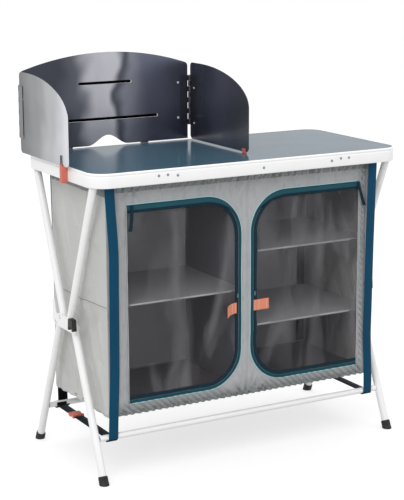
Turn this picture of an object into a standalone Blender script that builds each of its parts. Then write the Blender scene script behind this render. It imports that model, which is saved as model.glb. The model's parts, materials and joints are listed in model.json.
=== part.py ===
"""Folding camp kitchen unit: a rimmed worktop with a three-sided windscreen, on a folding leg frame
that carries a fabric cupboard with two mesh doors.

Metres, +Z up. The origin is on the ground under the middle of the worktop, the front faces -Y.
Run it with: blender --background --python part.py
"""
import math

import bmesh
import bpy
from mathutils import Matrix, Vector

for old in list(bpy.data.objects):
    bpy.data.objects.remove(old, do_unlink=True)

# Clearances
GAP = 0.0003
DOOR_GAP = 0.0005
PIN_CLEARANCE = 0.0002

# Worktop
WORKTOP_HEIGHT = 0.800
TOP_WIDTH = 0.918
TOP_DEPTH = 0.432
TOP_CORNER_RADIUS = 0.050
BOARD_THICKNESS = 0.012
BOARD_RECESS = 0.0004
RIM_HEIGHT = 0.037
RIM_WALL = 0.0025
RIM_EASE = 0.0008
RIM_BEAD_HEIGHT = 0.008
RIM_GROOVE_DEPTH = 0.0014
RIM_GROOVE_WIDTH = 0.0016
RIM_LEDGE_WIDTH = 0.010
RIM_LEDGE_THICKNESS = 0.0035

# Braces under the board, which sit on the frame's rails and keep them from spreading
BRACE_THICKNESS = 0.004
BRACE_FLANGE = 0.003
BRACE_FLANGE_INSET = 0.002
WIDE_BRACE_WIDTH = 0.072
NARROW_BRACE_WIDTH = 0.030
BRACES = {
    "brace_left": (-0.254, WIDE_BRACE_WIDTH),
    "brace_centre": (0.024, NARROW_BRACE_WIDTH),
    "brace_right": (0.265, WIDE_BRACE_WIDTH),
}

# Folding frame
LEG_FROM_EDGE = 0.0175
LEG_RADIUS = 0.010
LEG_WALL = 0.0015
UPPER_LEG_LEAN = math.radians(22.75)
LOWER_LEG_LEAN = math.radians(23.4)
LEG_PAST_PIN = 0.011
UPPER_PIN_Y = 0.0186
UPPER_PIN_Z = 0.392
LOWER_PIN_Y = 0.044
LOWER_PIN_Z = 0.374
RAIL_RADIUS = 0.010
RAIL_WALL = 0.0015
RAIL_END_INSET = 0.004
STRETCHER_RADIUS = 0.008
STRETCHER_WALL = 0.0012
STRETCHER_HEIGHT = 0.107
CAP_WALL = 0.002
CAP_SOLE = 0.009
CAP_LENGTH = 0.022
PIN_RADIUS = 0.003
PIN_HEAD_RADIUS = 0.0055
PIN_HEAD_THICKNESS = 0.002
KNEE_PLATE_THICKNESS = 0.003
KNEE_PLATE_MARGIN = 0.009
KNEE_PLATE_FRONT = 0.034
KNEE_ARM_WIDTH = 0.012
KNEE_ARM_RISE = 0.030
KNEE_NOTCH = 0.008
KNEE_COVER_THICKNESS = 0.013
KNEE_COVER_FORWARD = 0.030
KNEE_COVER_LIFT = 0.004
KNEE_COVER_MOUTH_RADIUS = 0.0095
KNEE_COVER_SIDE = 0.0055
KNEE_COVER_HEIGHT = 0.031
GROUND_CUT_DEPTH = 0.020

# Windscreen
SCREEN_THICKNESS = 0.001
SCREEN_OVERHANG = 0.0116
SCREEN_WIDTH = 0.5096
SCREEN_AXIS_INSET = 0.0067
SCREEN_LIFT = 0.003
SCREEN_END_HEIGHT = 1.0145
SCREEN_CROWN_HEIGHT = 1.0556
SCREEN_CORNER_RADIUS = 0.012
HOSE_ARCH_FROM_LEFT = 0.2576
HOSE_ARCH_HALF_WIDTH = 0.061
HOSE_ARCH_HEIGHT = 0.027
BEAD_RADIUS = 0.004
BEAD_SHEET = 0.0008
UPPER_BEAD = (0.1756, 0.3276, 0.973)
LOWER_BEAD = (0.0976, 0.4076, 0.875)
TAB_WIDTH = 0.024
TAB_THICKNESS = 0.001
TAB_DROP = 0.018
TAB_ROOT_HEIGHT = 0.004
TABS_FROM_LEFT = (0.1406, 0.3706)
WING_LENGTH = 0.3228
LEFT_WING_SHORTER = 0.0125
WING_FRONT_HEIGHT = 0.117
WING_TOP_HEIGHT = 1.0166
WING_TOP_START = 0.0573
WING_FRONT_CORNER_RADIUS = 0.015
WING_FOOT_LENGTH = 0.018
WING_FOOT_HEIGHT = 0.012
WING_FOOT_THICKNESS = 0.005

# Windscreen hinges
KNUCKLE_RADIUS = 0.0034
HINGE_PIN_RADIUS = 0.0015
HINGE_PIN_HEAD = 0.0012
HINGE_LEAF_THICKNESS = 0.0012
HINGE_LEAF_LENGTH = 0.026
HINGE_BOTTOM = 0.842
HINGE_HEIGHT = 0.138
KNUCKLE_COUNT = 9
KNUCKLE_NOTCH_MARGIN = 0.0006

# Clip that holds the left wing to the rim
CLIP_Y = -0.056
CLIP_WIDTH = 0.012
CLIP_WALL = 0.003
CLIP_CHEEK_HEIGHT = 0.004
CLIP_LIP = 0.007
CLIP_HOOK_WIDTH = 0.004
CLIP_HOOK_THICKNESS = 0.0016
CLIP_HOOK_HEIGHT = 0.021
CLIP_HOOK_CLEARANCE = 0.0005

# Fabric cupboard
FABRIC = 0.0012
CUPBOARD_FROM_LEG = 0.0365
CUPBOARD_BOTTOM = 0.160
CUPBOARD_TOP = 0.766
FLOOR_HEIGHT = 0.166
FLOOR_THICKNESS = 0.003
SHELF_THICKNESS = 0.004
SHELF_ROD_RADIUS = 0.005
SHELF_SETBACK = 0.005
LEFT_SHELF_HEIGHT = 0.447
RIGHT_UPPER_SHELF_HEIGHT = 0.547
RIGHT_LOWER_SHELF_HEIGHT = 0.345
SIDE_FOLD_DEPTH = 0.006
SIDE_FOLD_WIDTH = 0.020
SIDE_BELLY = 0.003
SIDE_WAIST_HEIGHT = 0.447
SIDE_WAIST_HALF_WIDTH = 0.030
SIDE_GRID = (14, 20)

# Mesh doors
DOOR_INNER_X = 0.0155
DOOR_FROM_SIDE = 0.0575
DOOR_BOTTOM = 0.198
DOOR_TOP = 0.717
DOOR_CORNER_RADIUS = 0.095
SLIDER_SIZE = Vector((0.006, 0.0035, 0.012))
SLIDER_HEIGHT = 0.430
PULL_LENGTH = 0.044
PULL_WIDTH = 0.029
PULL_THICKNESS = 0.0018
PULL_HEIGHT = 0.403
PULL_FROM_EDGE = 0.009

# Webbing straps
STRAP_FROM_SIDE = 0.007
REAR_STRAP_INSET = 0.012
STRAP_WIDTH = 0.024
STRAP_THICKNESS = 0.0015
STRAP_START = 50
STRAP_END = 340
BUCKLE_Y = 0.056
BUCKLE_LENGTH = 0.034
BUCKLE_WALL = 0.003
BUCKLE_CHEEK = 0.0035

# Heights and places that follow from the sizes above
LEG_X = TOP_WIDTH / 2 - LEG_FROM_EDGE
CUPBOARD_HALF_WIDTH = LEG_X - CUPBOARD_FROM_LEG
DOOR_OUTER_X = CUPBOARD_HALF_WIDTH - DOOR_FROM_SIDE
STRAP_X = CUPBOARD_HALF_WIDTH - STRAP_FROM_SIDE
SCREEN_LEFT_AXIS_X = -TOP_WIDTH / 2 - SCREEN_OVERHANG
SCREEN_RIGHT_AXIS_X = SCREEN_LEFT_AXIS_X + SCREEN_WIDTH
SCREEN_AXIS_Y = TOP_DEPTH / 2 - SCREEN_AXIS_INSET
HOSE_ARCH_X = SCREEN_LEFT_AXIS_X + HOSE_ARCH_FROM_LEFT
WING_FRONT_Y = SCREEN_AXIS_Y - WING_LENGTH
WING_TOP_START_Y = SCREEN_AXIS_Y - WING_TOP_START
BOARD_TOP = WORKTOP_HEIGHT - BOARD_RECESS
BOARD_UNDERSIDE = BOARD_TOP - BOARD_THICKNESS
LEDGE_TOP = BOARD_UNDERSIDE - GAP
LEDGE_UNDERSIDE = LEDGE_TOP - RIM_LEDGE_THICKNESS
BRACE_TOP = LEDGE_UNDERSIDE - GAP
BRACE_UNDERSIDE = BRACE_TOP - BRACE_THICKNESS
RIM_UNDERSIDE = WORKTOP_HEIGHT - RIM_HEIGHT
RIM_INSIDE = RIM_WALL + RIM_EASE
RAIL_Z = BRACE_UNDERSIDE - GAP - RAIL_RADIUS
RAIL_Y = UPPER_PIN_Y + (RAIL_Z - UPPER_PIN_Z) * math.tan(UPPER_LEG_LEAN)
FOOT_Y = LOWER_PIN_Y + LOWER_PIN_Z * math.tan(LOWER_LEG_LEAN)
STRETCHER_Y = FOOT_Y - STRETCHER_HEIGHT * math.tan(LOWER_LEG_LEAN)
CUPBOARD_OUTER_Y = RAIL_Y - RAIL_RADIUS - GAP
CUPBOARD_INNER_Y = CUPBOARD_OUTER_Y - FABRIC
CUPBOARD_INNER_X = CUPBOARD_HALF_WIDTH - FABRIC / 2 - GAP
SCREEN_BOTTOM = WORKTOP_HEIGHT + SCREEN_LIFT
SCREEN_FRONT_Y = SCREEN_AXIS_Y + KNUCKLE_RADIUS + GAP
WING_INSET = KNUCKLE_RADIUS - HINGE_LEAF_THICKNESS - GAP
KNEE_PLATE_X = LEG_X + LEG_RADIUS + GAP
KNEE_COVER_X = KNEE_PLATE_X + KNEE_PLATE_THICKNESS + GAP

SIDES = {"left": -1, "right": 1}
ENDS = {"front": -1, "rear": 1}


def material(name, colour, roughness, metallic=0.0):
    """A Principled material from a display colour given as red, green and blue from 0 to 255."""
    made = bpy.data.materials.new(name)
    made.use_nodes = True
    surface = made.node_tree.nodes["Principled BSDF"]
    linear = [(value / 255.0) ** 2.2 for value in colour]
    surface.inputs["Base Color"].default_value = (*linear, 1.0)
    surface.inputs["Roughness"].default_value = roughness
    surface.inputs["Metallic"].default_value = metallic
    return made


LAMINATE = material("dark_laminate", (52, 76, 86), 0.2)
WHITE_METAL = material("white_coated_metal", (232, 233, 231), 0.35)
BARE_METAL = material("bare_metal", (170, 172, 174), 0.35, 1.0)
DARK_STEEL = material("dark_satin_steel", (70, 71, 76), 0.35, 1.0)
BLACK_PLASTIC = material("black_plastic", (24, 24, 26), 0.5)
CORAL_PLASTIC = material("coral_plastic", (224, 118, 92), 0.45)
CORAL_WEBBING = material("coral_webbing", (228, 140, 112), 0.85)
GREY_FABRIC = material("grey_fabric", (178, 178, 174), 0.9)
GREY_BOARD = material("grey_fabric_board", (108, 108, 108), 0.85)
BLACK_MESH = material("black_mesh", (52, 54, 58), 0.8)
BLUE_WEBBING = material("blue_webbing", (28, 80, 106), 0.85)
NAVY_WEBBING = material("navy_webbing", (24, 48, 66), 0.85)


def arc(centre, radius, start, end, steps):
    """Points on an arc about centre, from the start angle to the end angle in degrees."""
    angles = [math.radians(start + (end - start) * i / steps) for i in range(steps + 1)]
    return [(centre[0] + radius * math.cos(a), centre[1] + radius * math.sin(a)) for a in angles]


def filleted(corners, steps=6):
    """The outline through corners, each (across, up, radius), with every corner rounded."""
    points = []
    for i, (across, up, radius) in enumerate(corners):
        corner = Vector((across, up))
        before = Vector(corners[i - 1][:2]) - corner
        after = Vector(corners[(i + 1) % len(corners)][:2]) - corner
        half = before.angle(after) / 2
        reach = min(radius / math.tan(half), 0.49 * before.length, 0.49 * after.length)
        if reach < 1e-6:
            points.append(tuple(corner))
            continue
        used = reach * math.tan(half)
        centre = corner + (before.normalized() + after.normalized()).normalized() * used / math.sin(half)
        first = corner + before.normalized() * reach - centre
        last = corner + after.normalized() * reach - centre
        turn = first.angle_signed(last)
        for step in range(steps + 1):
            spoke = first.copy()
            spoke.rotate(Matrix.Rotation(-turn * step / steps, 2))
            points.append(tuple(centre + spoke))
    return points


def finish(name, mesh_in_progress, surface, parent=None, smooth=None):
    """Turns a finished bmesh into a named object with its material, under its joint's empty."""
    bmesh.ops.recalc_face_normals(mesh_in_progress, faces=mesh_in_progress.faces)
    mesh = bpy.data.meshes.new(name)
    mesh_in_progress.to_mesh(mesh)
    mesh_in_progress.free()
    if smooth:
        mesh.shade_smooth()
        mesh.set_sharp_from_angle(angle=math.radians(smooth))
    made = bpy.data.objects.new(name, mesh)
    bpy.context.scene.collection.objects.link(made)
    if surface:
        mesh.materials.append(surface)
    if parent:
        made.parent = parent
        made.location = -Vector(parent["place"])
    return made


def pivot(name, location, parent=None):
    """An empty on a joint's axis, which the joint's moving pieces hang from."""
    made = bpy.data.objects.new(name, None)
    made.empty_display_size = 0.03
    made.location = location
    bpy.context.scene.collection.objects.link(made)
    if parent:
        made.parent = parent
        made.location = Vector(location) - Vector(parent["place"])
    made["place"] = tuple(location)
    return made


def raised(point, level, axis):
    """A flat outline's point in space: the outline lies across axis at the given level."""
    across, up = point
    return {"X": (level, across, up), "Y": (across, level, up), "Z": (across, up, level)}[axis]


def slab_mesh(outline, axis, low, high, holes=()):
    """A closed slab between two levels along axis, of the shape of outline less its holes."""
    mesh = bmesh.new()
    rings = []
    for loop in (outline, *holes):
        corners = [mesh.verts.new(raised(point, low, axis)) for point in loop]
        rings.append([mesh.edges.new((corners[i - 1], corners[i])) for i in range(len(corners))])
    if holes:
        every_edge = [edge for ring in rings for edge in ring]
        filled = bmesh.ops.triangle_fill(mesh, edges=every_edge, use_beauty=True)["geom"]
    else:
        filled = bmesh.ops.contextual_create(mesh, geom=rings[0])["faces"]
    faces = [item for item in filled if isinstance(item, bmesh.types.BMFace)]
    grown = bmesh.ops.extrude_face_region(mesh, geom=faces)["geom"]
    shift = Vector(raised((0, 0), high - low, axis))
    bmesh.ops.translate(mesh, verts=[v for v in grown if isinstance(v, bmesh.types.BMVert)], vec=shift)
    return mesh


def slab(name, surface, outline, axis, low, high, holes=(), parent=None, smooth=None):
    """A named slab, see slab_mesh."""
    return finish(name, slab_mesh(outline, axis, low, high, holes), surface, parent, smooth)


def box(name, surface, low, high, parent=None):
    """A named box between two corners."""
    outline = [(low[0], low[1]), (high[0], low[1]), (high[0], high[1]), (low[0], high[1])]
    return slab(name, surface, outline, "Z", low[2], high[2], parent=parent)


def turned_mesh(profile, sides, start, end, closed=False):
    """A turned shape along the line from start to end.

    The profile holds (radius, distance from start) points. An open one gets flat ends."""
    mesh = bmesh.new()
    points = [mesh.verts.new((radius, 0, along)) for radius, along in profile]
    pairs = list(zip(points, points[1:]))
    if closed:
        pairs.append((points[-1], points[0]))
    edges = [mesh.edges.new(pair) for pair in pairs]
    bmesh.ops.spin(mesh, geom=points + edges, cent=(0, 0, 0), axis=(0, 0, 1), angle=math.tau,
                   steps=sides, use_merge=True)
    if not closed:
        bmesh.ops.holes_fill(mesh, edges=mesh.edges, sides=0)
    direction = (Vector(end) - Vector(start)).normalized()
    place = Matrix.Translation(start) @ direction.to_track_quat("Z", "Y").to_matrix().to_4x4()
    bmesh.ops.transform(mesh, matrix=place, verts=mesh.verts)
    return mesh


def tube(name, surface, start, end, radius, wall, parent=None, sides=20):
    """A hollow round tube."""
    length = (Vector(end) - Vector(start)).length
    inside = radius - wall
    profile = [(radius, 0), (radius, length), (inside, length), (inside, 0)]
    return finish(name, turned_mesh(profile, sides, start, end, closed=True), surface, parent, 40)


def rod_profile(radius, length):
    """The profile of a plain round rod."""
    return [(radius, 0), (radius, length)]


def joined(meshes):
    """One bmesh that holds several separate ones, for cutters and union pieces."""
    whole = bmesh.new()
    for piece in meshes:
        bmesh.ops.recalc_face_normals(piece, faces=piece.faces)
        carrier = bpy.data.meshes.new("carrier")
        piece.to_mesh(carrier)
        piece.free()
        whole.from_mesh(carrier)
        bpy.data.meshes.remove(carrier)
    return whole


def helper(name, meshes):
    """A hidden piece for Booleans, left out of the model."""
    made = finish(name, joined(meshes), None)
    made.hide_render = True
    made.display_type = "WIRE"
    return made


def boolean(target, other, operation):
    """Cuts other from target, or adds it."""
    change = target.modifiers.new(operation.lower(), "BOOLEAN")
    change.operation = operation
    change.solver = "EXACT"
    change.object = other


def rounded_rectangle(half_width, half_depth, radius, steps=7):
    """The outline of a rectangle about the middle, with round corners."""
    corners = [(1, 1, 0), (-1, 1, 90), (-1, -1, 180), (1, -1, 270)]
    points = []
    for x, y, start in corners:
        centre = (x * (half_width - radius), y * (half_depth - radius))
        points += arc(centre, radius, start, start + 90, steps)
    return points


def mirrored(outline, sign):
    """An outline with its first coordinate turned round where sign is -1."""
    return [(sign * across, up) for across, up in outline]


def build_worktop(root):
    """The board, the rim that holds it and the three braces under it."""
    half_width, half_depth = TOP_WIDTH / 2, TOP_DEPTH / 2
    bead_bottom = WORKTOP_HEIGHT - RIM_BEAD_HEIGHT
    groove_bottom = bead_bottom - RIM_GROOVE_WIDTH
    ledge_edge = RIM_INSIDE + RIM_LEDGE_WIDTH
    section = [
        (RIM_EASE, WORKTOP_HEIGHT),
        (0, WORKTOP_HEIGHT - RIM_EASE),
        (0, bead_bottom),
        (RIM_GROOVE_DEPTH, bead_bottom - RIM_GROOVE_WIDTH / 4),
        (RIM_GROOVE_DEPTH, groove_bottom + RIM_GROOVE_WIDTH / 4),
        (RIM_EASE / 2, groove_bottom),
        (RIM_EASE / 2, RIM_UNDERSIDE + RIM_EASE),
        (RIM_EASE, RIM_UNDERSIDE),
        (RIM_INSIDE, RIM_UNDERSIDE),
        (RIM_INSIDE, LEDGE_UNDERSIDE),
        (ledge_edge, LEDGE_UNDERSIDE),
        (ledge_edge, LEDGE_TOP),
        (RIM_INSIDE, LEDGE_TOP),
        (RIM_INSIDE, WORKTOP_HEIGHT),
    ]
    rim = bmesh.new()
    rings = []
    for inset, level in section:
        outline = rounded_rectangle(half_width - inset, half_depth - inset, TOP_CORNER_RADIUS - inset)
        rings.append([rim.verts.new((x, y, level)) for x, y in outline])
    for i, ring in enumerate(rings):
        before = rings[i - 1]
        for j in range(len(ring)):
            rim.faces.new((before[j - 1], before[j], ring[j], ring[j - 1]))
    finish("rim_frame", rim, WHITE_METAL, root, 35)

    board_inset = RIM_INSIDE + GAP
    board = rounded_rectangle(half_width - board_inset, half_depth - board_inset,
                              TOP_CORNER_RADIUS - board_inset)
    slab("top_board", LAMINATE, board, "Z", BOARD_UNDERSIDE, BOARD_TOP, parent=root, smooth=35)

    outer = half_depth - RIM_INSIDE - GAP
    stop = RAIL_Y + RAIL_RADIUS + GAP
    foot = RIM_UNDERSIDE + BRACE_FLANGE_INSET
    half = [
        (stop, BRACE_UNDERSIDE),
        (stop, foot),
        (stop + BRACE_FLANGE, foot),
        (stop + BRACE_FLANGE, BRACE_UNDERSIDE),
        (outer - BRACE_FLANGE, BRACE_UNDERSIDE),
        (outer - BRACE_FLANGE, foot),
        (outer, foot),
        (outer, BRACE_TOP),
    ]
    outline = half + mirrored(half, -1)[::-1]
    for name, (middle, width) in BRACES.items():
        slab(name, WHITE_METAL, outline, "X", middle - width / 2, middle + width / 2, parent=root)


def build_screen_back(root):
    """The windscreen's back sheet, with its arched top, hose arch, two pressed beads and hook tabs."""
    left = SCREEN_LEFT_AXIS_X + KNUCKLE_RADIUS
    right = SCREEN_RIGHT_AXIS_X - KNUCKLE_RADIUS
    half_chord = (right - left) / 2
    middle = (right + left) / 2
    rise = SCREEN_CROWN_HEIGHT - SCREEN_END_HEIGHT
    crown_radius = (half_chord**2 + rise**2) / (2 * rise)
    crown_centre = SCREEN_CROWN_HEIGHT - crown_radius
    corner_across = half_chord - SCREEN_CORNER_RADIUS
    corner_up = math.sqrt((crown_radius - SCREEN_CORNER_RADIUS) ** 2 - corner_across**2)
    meet = math.degrees(math.atan2(corner_up, corner_across))
    crown = arc((middle, crown_centre), crown_radius, meet, 180 - meet, 18)
    right_corner = arc((middle + corner_across, crown_centre + corner_up), SCREEN_CORNER_RADIUS, 0, meet, 5)
    left_corner = [(2 * middle - across, up) for across, up in right_corner[::-1]]
    arch = []
    for i in range(17):
        across = HOSE_ARCH_HALF_WIDTH * (i / 8 - 1)
        height = HOSE_ARCH_HEIGHT * (1 + math.cos(math.pi * across / HOSE_ARCH_HALF_WIDTH)) / 2
        arch.append((HOSE_ARCH_X + across, SCREEN_BOTTOM + height))
    outline = [(left, SCREEN_BOTTOM)] + arch + [(right, SCREEN_BOTTOM)]
    outline += right_corner + crown[1:-1] + left_corner
    back_y = SCREEN_FRONT_Y + SCREEN_THICKNESS
    sheet = slab("windscreen_back", DARK_STEEL, outline, "Y", SCREEN_FRONT_Y, back_y, parent=root)

    ridges, grooves, fronts = [], [], []
    for from_left, to_right, height in (UPPER_BEAD, LOWER_BEAD):
        first = SCREEN_LEFT_AXIS_X + from_left
        last = SCREEN_LEFT_AXIS_X + to_right
        start = (first, SCREEN_FRONT_Y - BEAD_SHEET, height)
        end = (last, SCREEN_FRONT_Y - BEAD_SHEET, height)
        length = last - first
        ridges.append(turned_mesh(rod_profile(BEAD_RADIUS, length), 12, start, end))
        inside = BEAD_RADIUS - BEAD_SHEET
        inner_start = (first + BEAD_SHEET, SCREEN_FRONT_Y - BEAD_SHEET, height)
        grooves.append(turned_mesh(rod_profile(inside, length - 2 * BEAD_SHEET), 12, inner_start, end))
        in_front = [
            (first - BEAD_RADIUS, height - 2 * BEAD_RADIUS),
            (last + BEAD_RADIUS, height - 2 * BEAD_RADIUS),
            (last + BEAD_RADIUS, height + 2 * BEAD_RADIUS),
            (first - BEAD_RADIUS, height + 2 * BEAD_RADIUS),
        ]
        fronts.append(slab_mesh(in_front, "Y", SCREEN_FRONT_Y - 2 * BEAD_RADIUS, SCREEN_FRONT_Y))
    boolean(sheet, helper("bead_ridges", ridges), "UNION")
    boolean(sheet, helper("bead_grooves", grooves), "DIFFERENCE")
    boolean(sheet, helper("bead_fronts", fronts), "DIFFERENCE")

    rim_top = WORKTOP_HEIGHT + GAP
    rim_back = TOP_DEPTH / 2 + GAP
    hook = [
        (SCREEN_FRONT_Y, SCREEN_BOTTOM + TAB_ROOT_HEIGHT),
        (SCREEN_FRONT_Y, rim_top),
        (rim_back, rim_top),
        (rim_back, WORKTOP_HEIGHT - TAB_DROP),
        (rim_back + TAB_THICKNESS, WORKTOP_HEIGHT - TAB_DROP),
        (rim_back + TAB_THICKNESS, rim_top + TAB_THICKNESS),
        (back_y, rim_top + TAB_THICKNESS),
        (back_y, SCREEN_BOTTOM + TAB_ROOT_HEIGHT),
    ]
    tab_starts = [SCREEN_LEFT_AXIS_X + place - TAB_WIDTH / 2 for place in TABS_FROM_LEFT]
    tabs = [slab_mesh(hook, "X", start, start + TAB_WIDTH) for start in tab_starts]
    boolean(sheet, helper("hook_tabs", tabs), "UNION")


def wing_outline(front_y):
    """A windscreen wing seen from its side: (distance along Y, height), with its round front."""
    rear = SCREEN_AXIS_Y - KNUCKLE_RADIUS - GAP
    shoulder = SCREEN_BOTTOM + WING_FRONT_HEIGHT
    length = WING_TOP_START_Y - front_y
    height = WING_TOP_HEIGHT - shoulder
    bottom = filleted([
        (front_y, shoulder, 0),
        (front_y, SCREEN_BOTTOM, WING_FRONT_CORNER_RADIUS),
        (rear, SCREEN_BOTTOM, SCREEN_CORNER_RADIUS),
        (rear, WING_TOP_HEIGHT, SCREEN_CORNER_RADIUS),
        (WING_TOP_START_Y, WING_TOP_HEIGHT, 0),
    ])
    curve = []
    for i in range(1, 16):
        angle = math.radians(90 - 90 * i / 16)
        curve.append((WING_TOP_START_Y - length * math.cos(angle), shoulder + height * math.sin(angle)))
    return bottom + curve


def hinge_profile(steps=9):
    """A rolled hinge leaf: a knuckle about (0, 0) with its leaf running along the first coordinate."""
    inner_face = KNUCKLE_RADIUS - HINGE_LEAF_THICKNESS
    meet = math.degrees(math.asin(inner_face / KNUCKLE_RADIUS))
    outline = [(HINGE_LEAF_LENGTH, KNUCKLE_RADIUS)]
    outline += arc((0, 0), KNUCKLE_RADIUS, 90, 360 + meet, steps)
    outline += [(HINGE_LEAF_LENGTH, inner_face)]
    bore = arc((0, 0), HINGE_PIN_RADIUS + PIN_CLEARANCE, 0, 324, 9)
    return outline, bore


def hinge_leaf(name, axis_x, along, outward, takes_even, parent):
    """A hinge leaf with its share of the knuckles: the other leaf's places are cut away."""
    def placed(points):
        return [
            (axis_x + along[0] * a + outward[0] * b, SCREEN_AXIS_Y + along[1] * a + outward[1] * b)
            for a, b in points
        ]
    outline, bore = hinge_profile()
    leaf = slab(name, DARK_STEEL, placed(outline), "Z", HINGE_BOTTOM, HINGE_BOTTOM + HINGE_HEIGHT,
                holes=[placed(bore)], parent=parent, smooth=40)
    pitch = HINGE_HEIGHT / KNUCKLE_COUNT
    reach = KNUCKLE_RADIUS + KNUCKLE_NOTCH_MARGIN
    notch = [(reach, reach), (-reach, reach), (-reach, -reach), (reach, -reach)]
    notches = []
    for i in range(1 if takes_even else 0, KNUCKLE_COUNT, 2):
        low = HINGE_BOTTOM + i * pitch - GAP
        high = HINGE_BOTTOM + (i + 1) * pitch + GAP
        notches.append(slab_mesh(placed(notch), "Z", low, high))
    boolean(leaf, helper(name + "_notches", notches), "DIFFERENCE")


def build_screen_sides(root):
    """The two wings with their hinges to the back sheet, and the right wing's foot."""
    axes = {"left": SCREEN_LEFT_AXIS_X, "right": SCREEN_RIGHT_AXIS_X}
    for side, sign in SIDES.items():
        axis_x = axes[side]
        swing = pivot(f"wing_{side}_axis", (axis_x, SCREEN_AXIS_Y, SCREEN_BOTTOM), root)
        outer = axis_x + sign * WING_INSET
        inner = outer - sign * SCREEN_THICKNESS
        front_y = WING_FRONT_Y + (LEFT_WING_SHORTER if side == "left" else 0)
        slab(f"windscreen_wing_{side}", DARK_STEEL, wing_outline(front_y), "X", min(outer, inner),
             max(outer, inner), parent=swing)
        hinge_leaf(f"hinge_leaf_back_{side}", axis_x, (-sign, 0), (0, 1), True, root)
        hinge_leaf(f"hinge_leaf_wing_{side}", axis_x, (0, -1), (sign, 0), False, swing)
        pin = [
            (HINGE_PIN_RADIUS, 0),
            (HINGE_PIN_RADIUS, HINGE_HEIGHT + GAP),
            (KNUCKLE_RADIUS, HINGE_HEIGHT + GAP),
            (KNUCKLE_RADIUS, HINGE_HEIGHT + GAP + HINGE_PIN_HEAD),
        ]
        foot = (axis_x, SCREEN_AXIS_Y, HINGE_BOTTOM)
        top = (axis_x, SCREEN_AXIS_Y, HINGE_BOTTOM + HINGE_HEIGHT)
        finish(f"hinge_pin_{side}", turned_mesh(pin, 12, foot, top), BARE_METAL, root, 40)
        if side == "right":
            build_wing_foot(outer, inner, swing)


def build_wing_foot(outer, inner, swing):
    """The soft foot that the right wing's free corner stands on: a slotted block on the sheet's edge."""
    front = WING_FRONT_Y + WING_FRONT_CORNER_RADIUS
    half = WING_FOOT_THICKNESS / 2
    middle = (outer + inner) / 2
    slot = SCREEN_THICKNESS / 2 + GAP
    low = BOARD_TOP + GAP
    section = [
        (middle - half, low),
        (middle + half, low),
        (middle + half, low + WING_FOOT_HEIGHT),
        (middle + slot, low + WING_FOOT_HEIGHT),
        (middle + slot, SCREEN_BOTTOM - GAP),
        (middle - slot, SCREEN_BOTTOM - GAP),
        (middle - slot, low + WING_FOOT_HEIGHT),
        (middle - half, low + WING_FOOT_HEIGHT),
    ]
    slab("wing_foot_right", CORAL_PLASTIC, section, "Y", front, front + WING_FOOT_LENGTH, parent=swing)


def build_rim_clip(root):
    """The clip that grips the rim and takes the left wing's lower edge, with its turning hook."""
    rim_outside = TOP_WIDTH / 2 + GAP
    wing_outside = -(SCREEN_LEFT_AXIS_X - WING_INSET)
    outer = wing_outside + GAP + CLIP_WALL
    slot_floor = SCREEN_BOTTOM - GAP
    rim_top = WORKTOP_HEIGHT + GAP
    rim_foot = RIM_UNDERSIDE - GAP
    section = [
        (outer, rim_foot - CLIP_WALL),
        (outer, SCREEN_BOTTOM + CLIP_CHEEK_HEIGHT),
        (wing_outside + GAP, SCREEN_BOTTOM + CLIP_CHEEK_HEIGHT),
        (wing_outside + GAP, slot_floor),
        (rim_outside - CLIP_LIP, slot_floor),
        (rim_outside - CLIP_LIP, rim_top),
        (rim_outside, rim_top),
        (rim_outside, rim_foot),
        (rim_outside - RIM_INSIDE, rim_foot),
        (rim_outside - RIM_INSIDE, rim_foot - CLIP_WALL),
    ]
    slab("rim_clip", CORAL_PLASTIC, mirrored(section, -1), "Y", CLIP_Y - CLIP_WIDTH / 2,
         CLIP_Y + CLIP_WIDTH / 2, parent=root)
    half = CLIP_HOOK_THICKNESS / 2
    axis_x = -(wing_outside + GAP + CLIP_WALL / 2)
    axis_z = SCREEN_BOTTOM + CLIP_CHEEK_HEIGHT + CLIP_HOOK_CLEARANCE + half
    swing = pivot("rim_clip_hook_axis", (axis_x, CLIP_Y, axis_z), root)
    box("rim_clip_hook", BLACK_PLASTIC, (axis_x - half, CLIP_Y - CLIP_HOOK_WIDTH / 2, axis_z - half),
        (axis_x + half, CLIP_Y + CLIP_HOOK_WIDTH / 2, axis_z + CLIP_HOOK_HEIGHT), swing)


def knee_pin(side, y, z):
    """A riveted pin through a leg tube, with its head on the inner side."""
    start = side * (LEG_X - LEG_RADIUS - GAP - PIN_HEAD_THICKNESS)
    end = side * (KNEE_PLATE_X + KNEE_PLATE_THICKNESS / 2)
    length = abs(end - start)
    profile = [
        (PIN_HEAD_RADIUS, 0),
        (PIN_HEAD_RADIUS, PIN_HEAD_THICKNESS),
        (PIN_RADIUS, PIN_HEAD_THICKNESS),
        (PIN_RADIUS, length),
    ]
    return turned_mesh(profile, 12, (start, y, z), (end, y, z))


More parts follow.
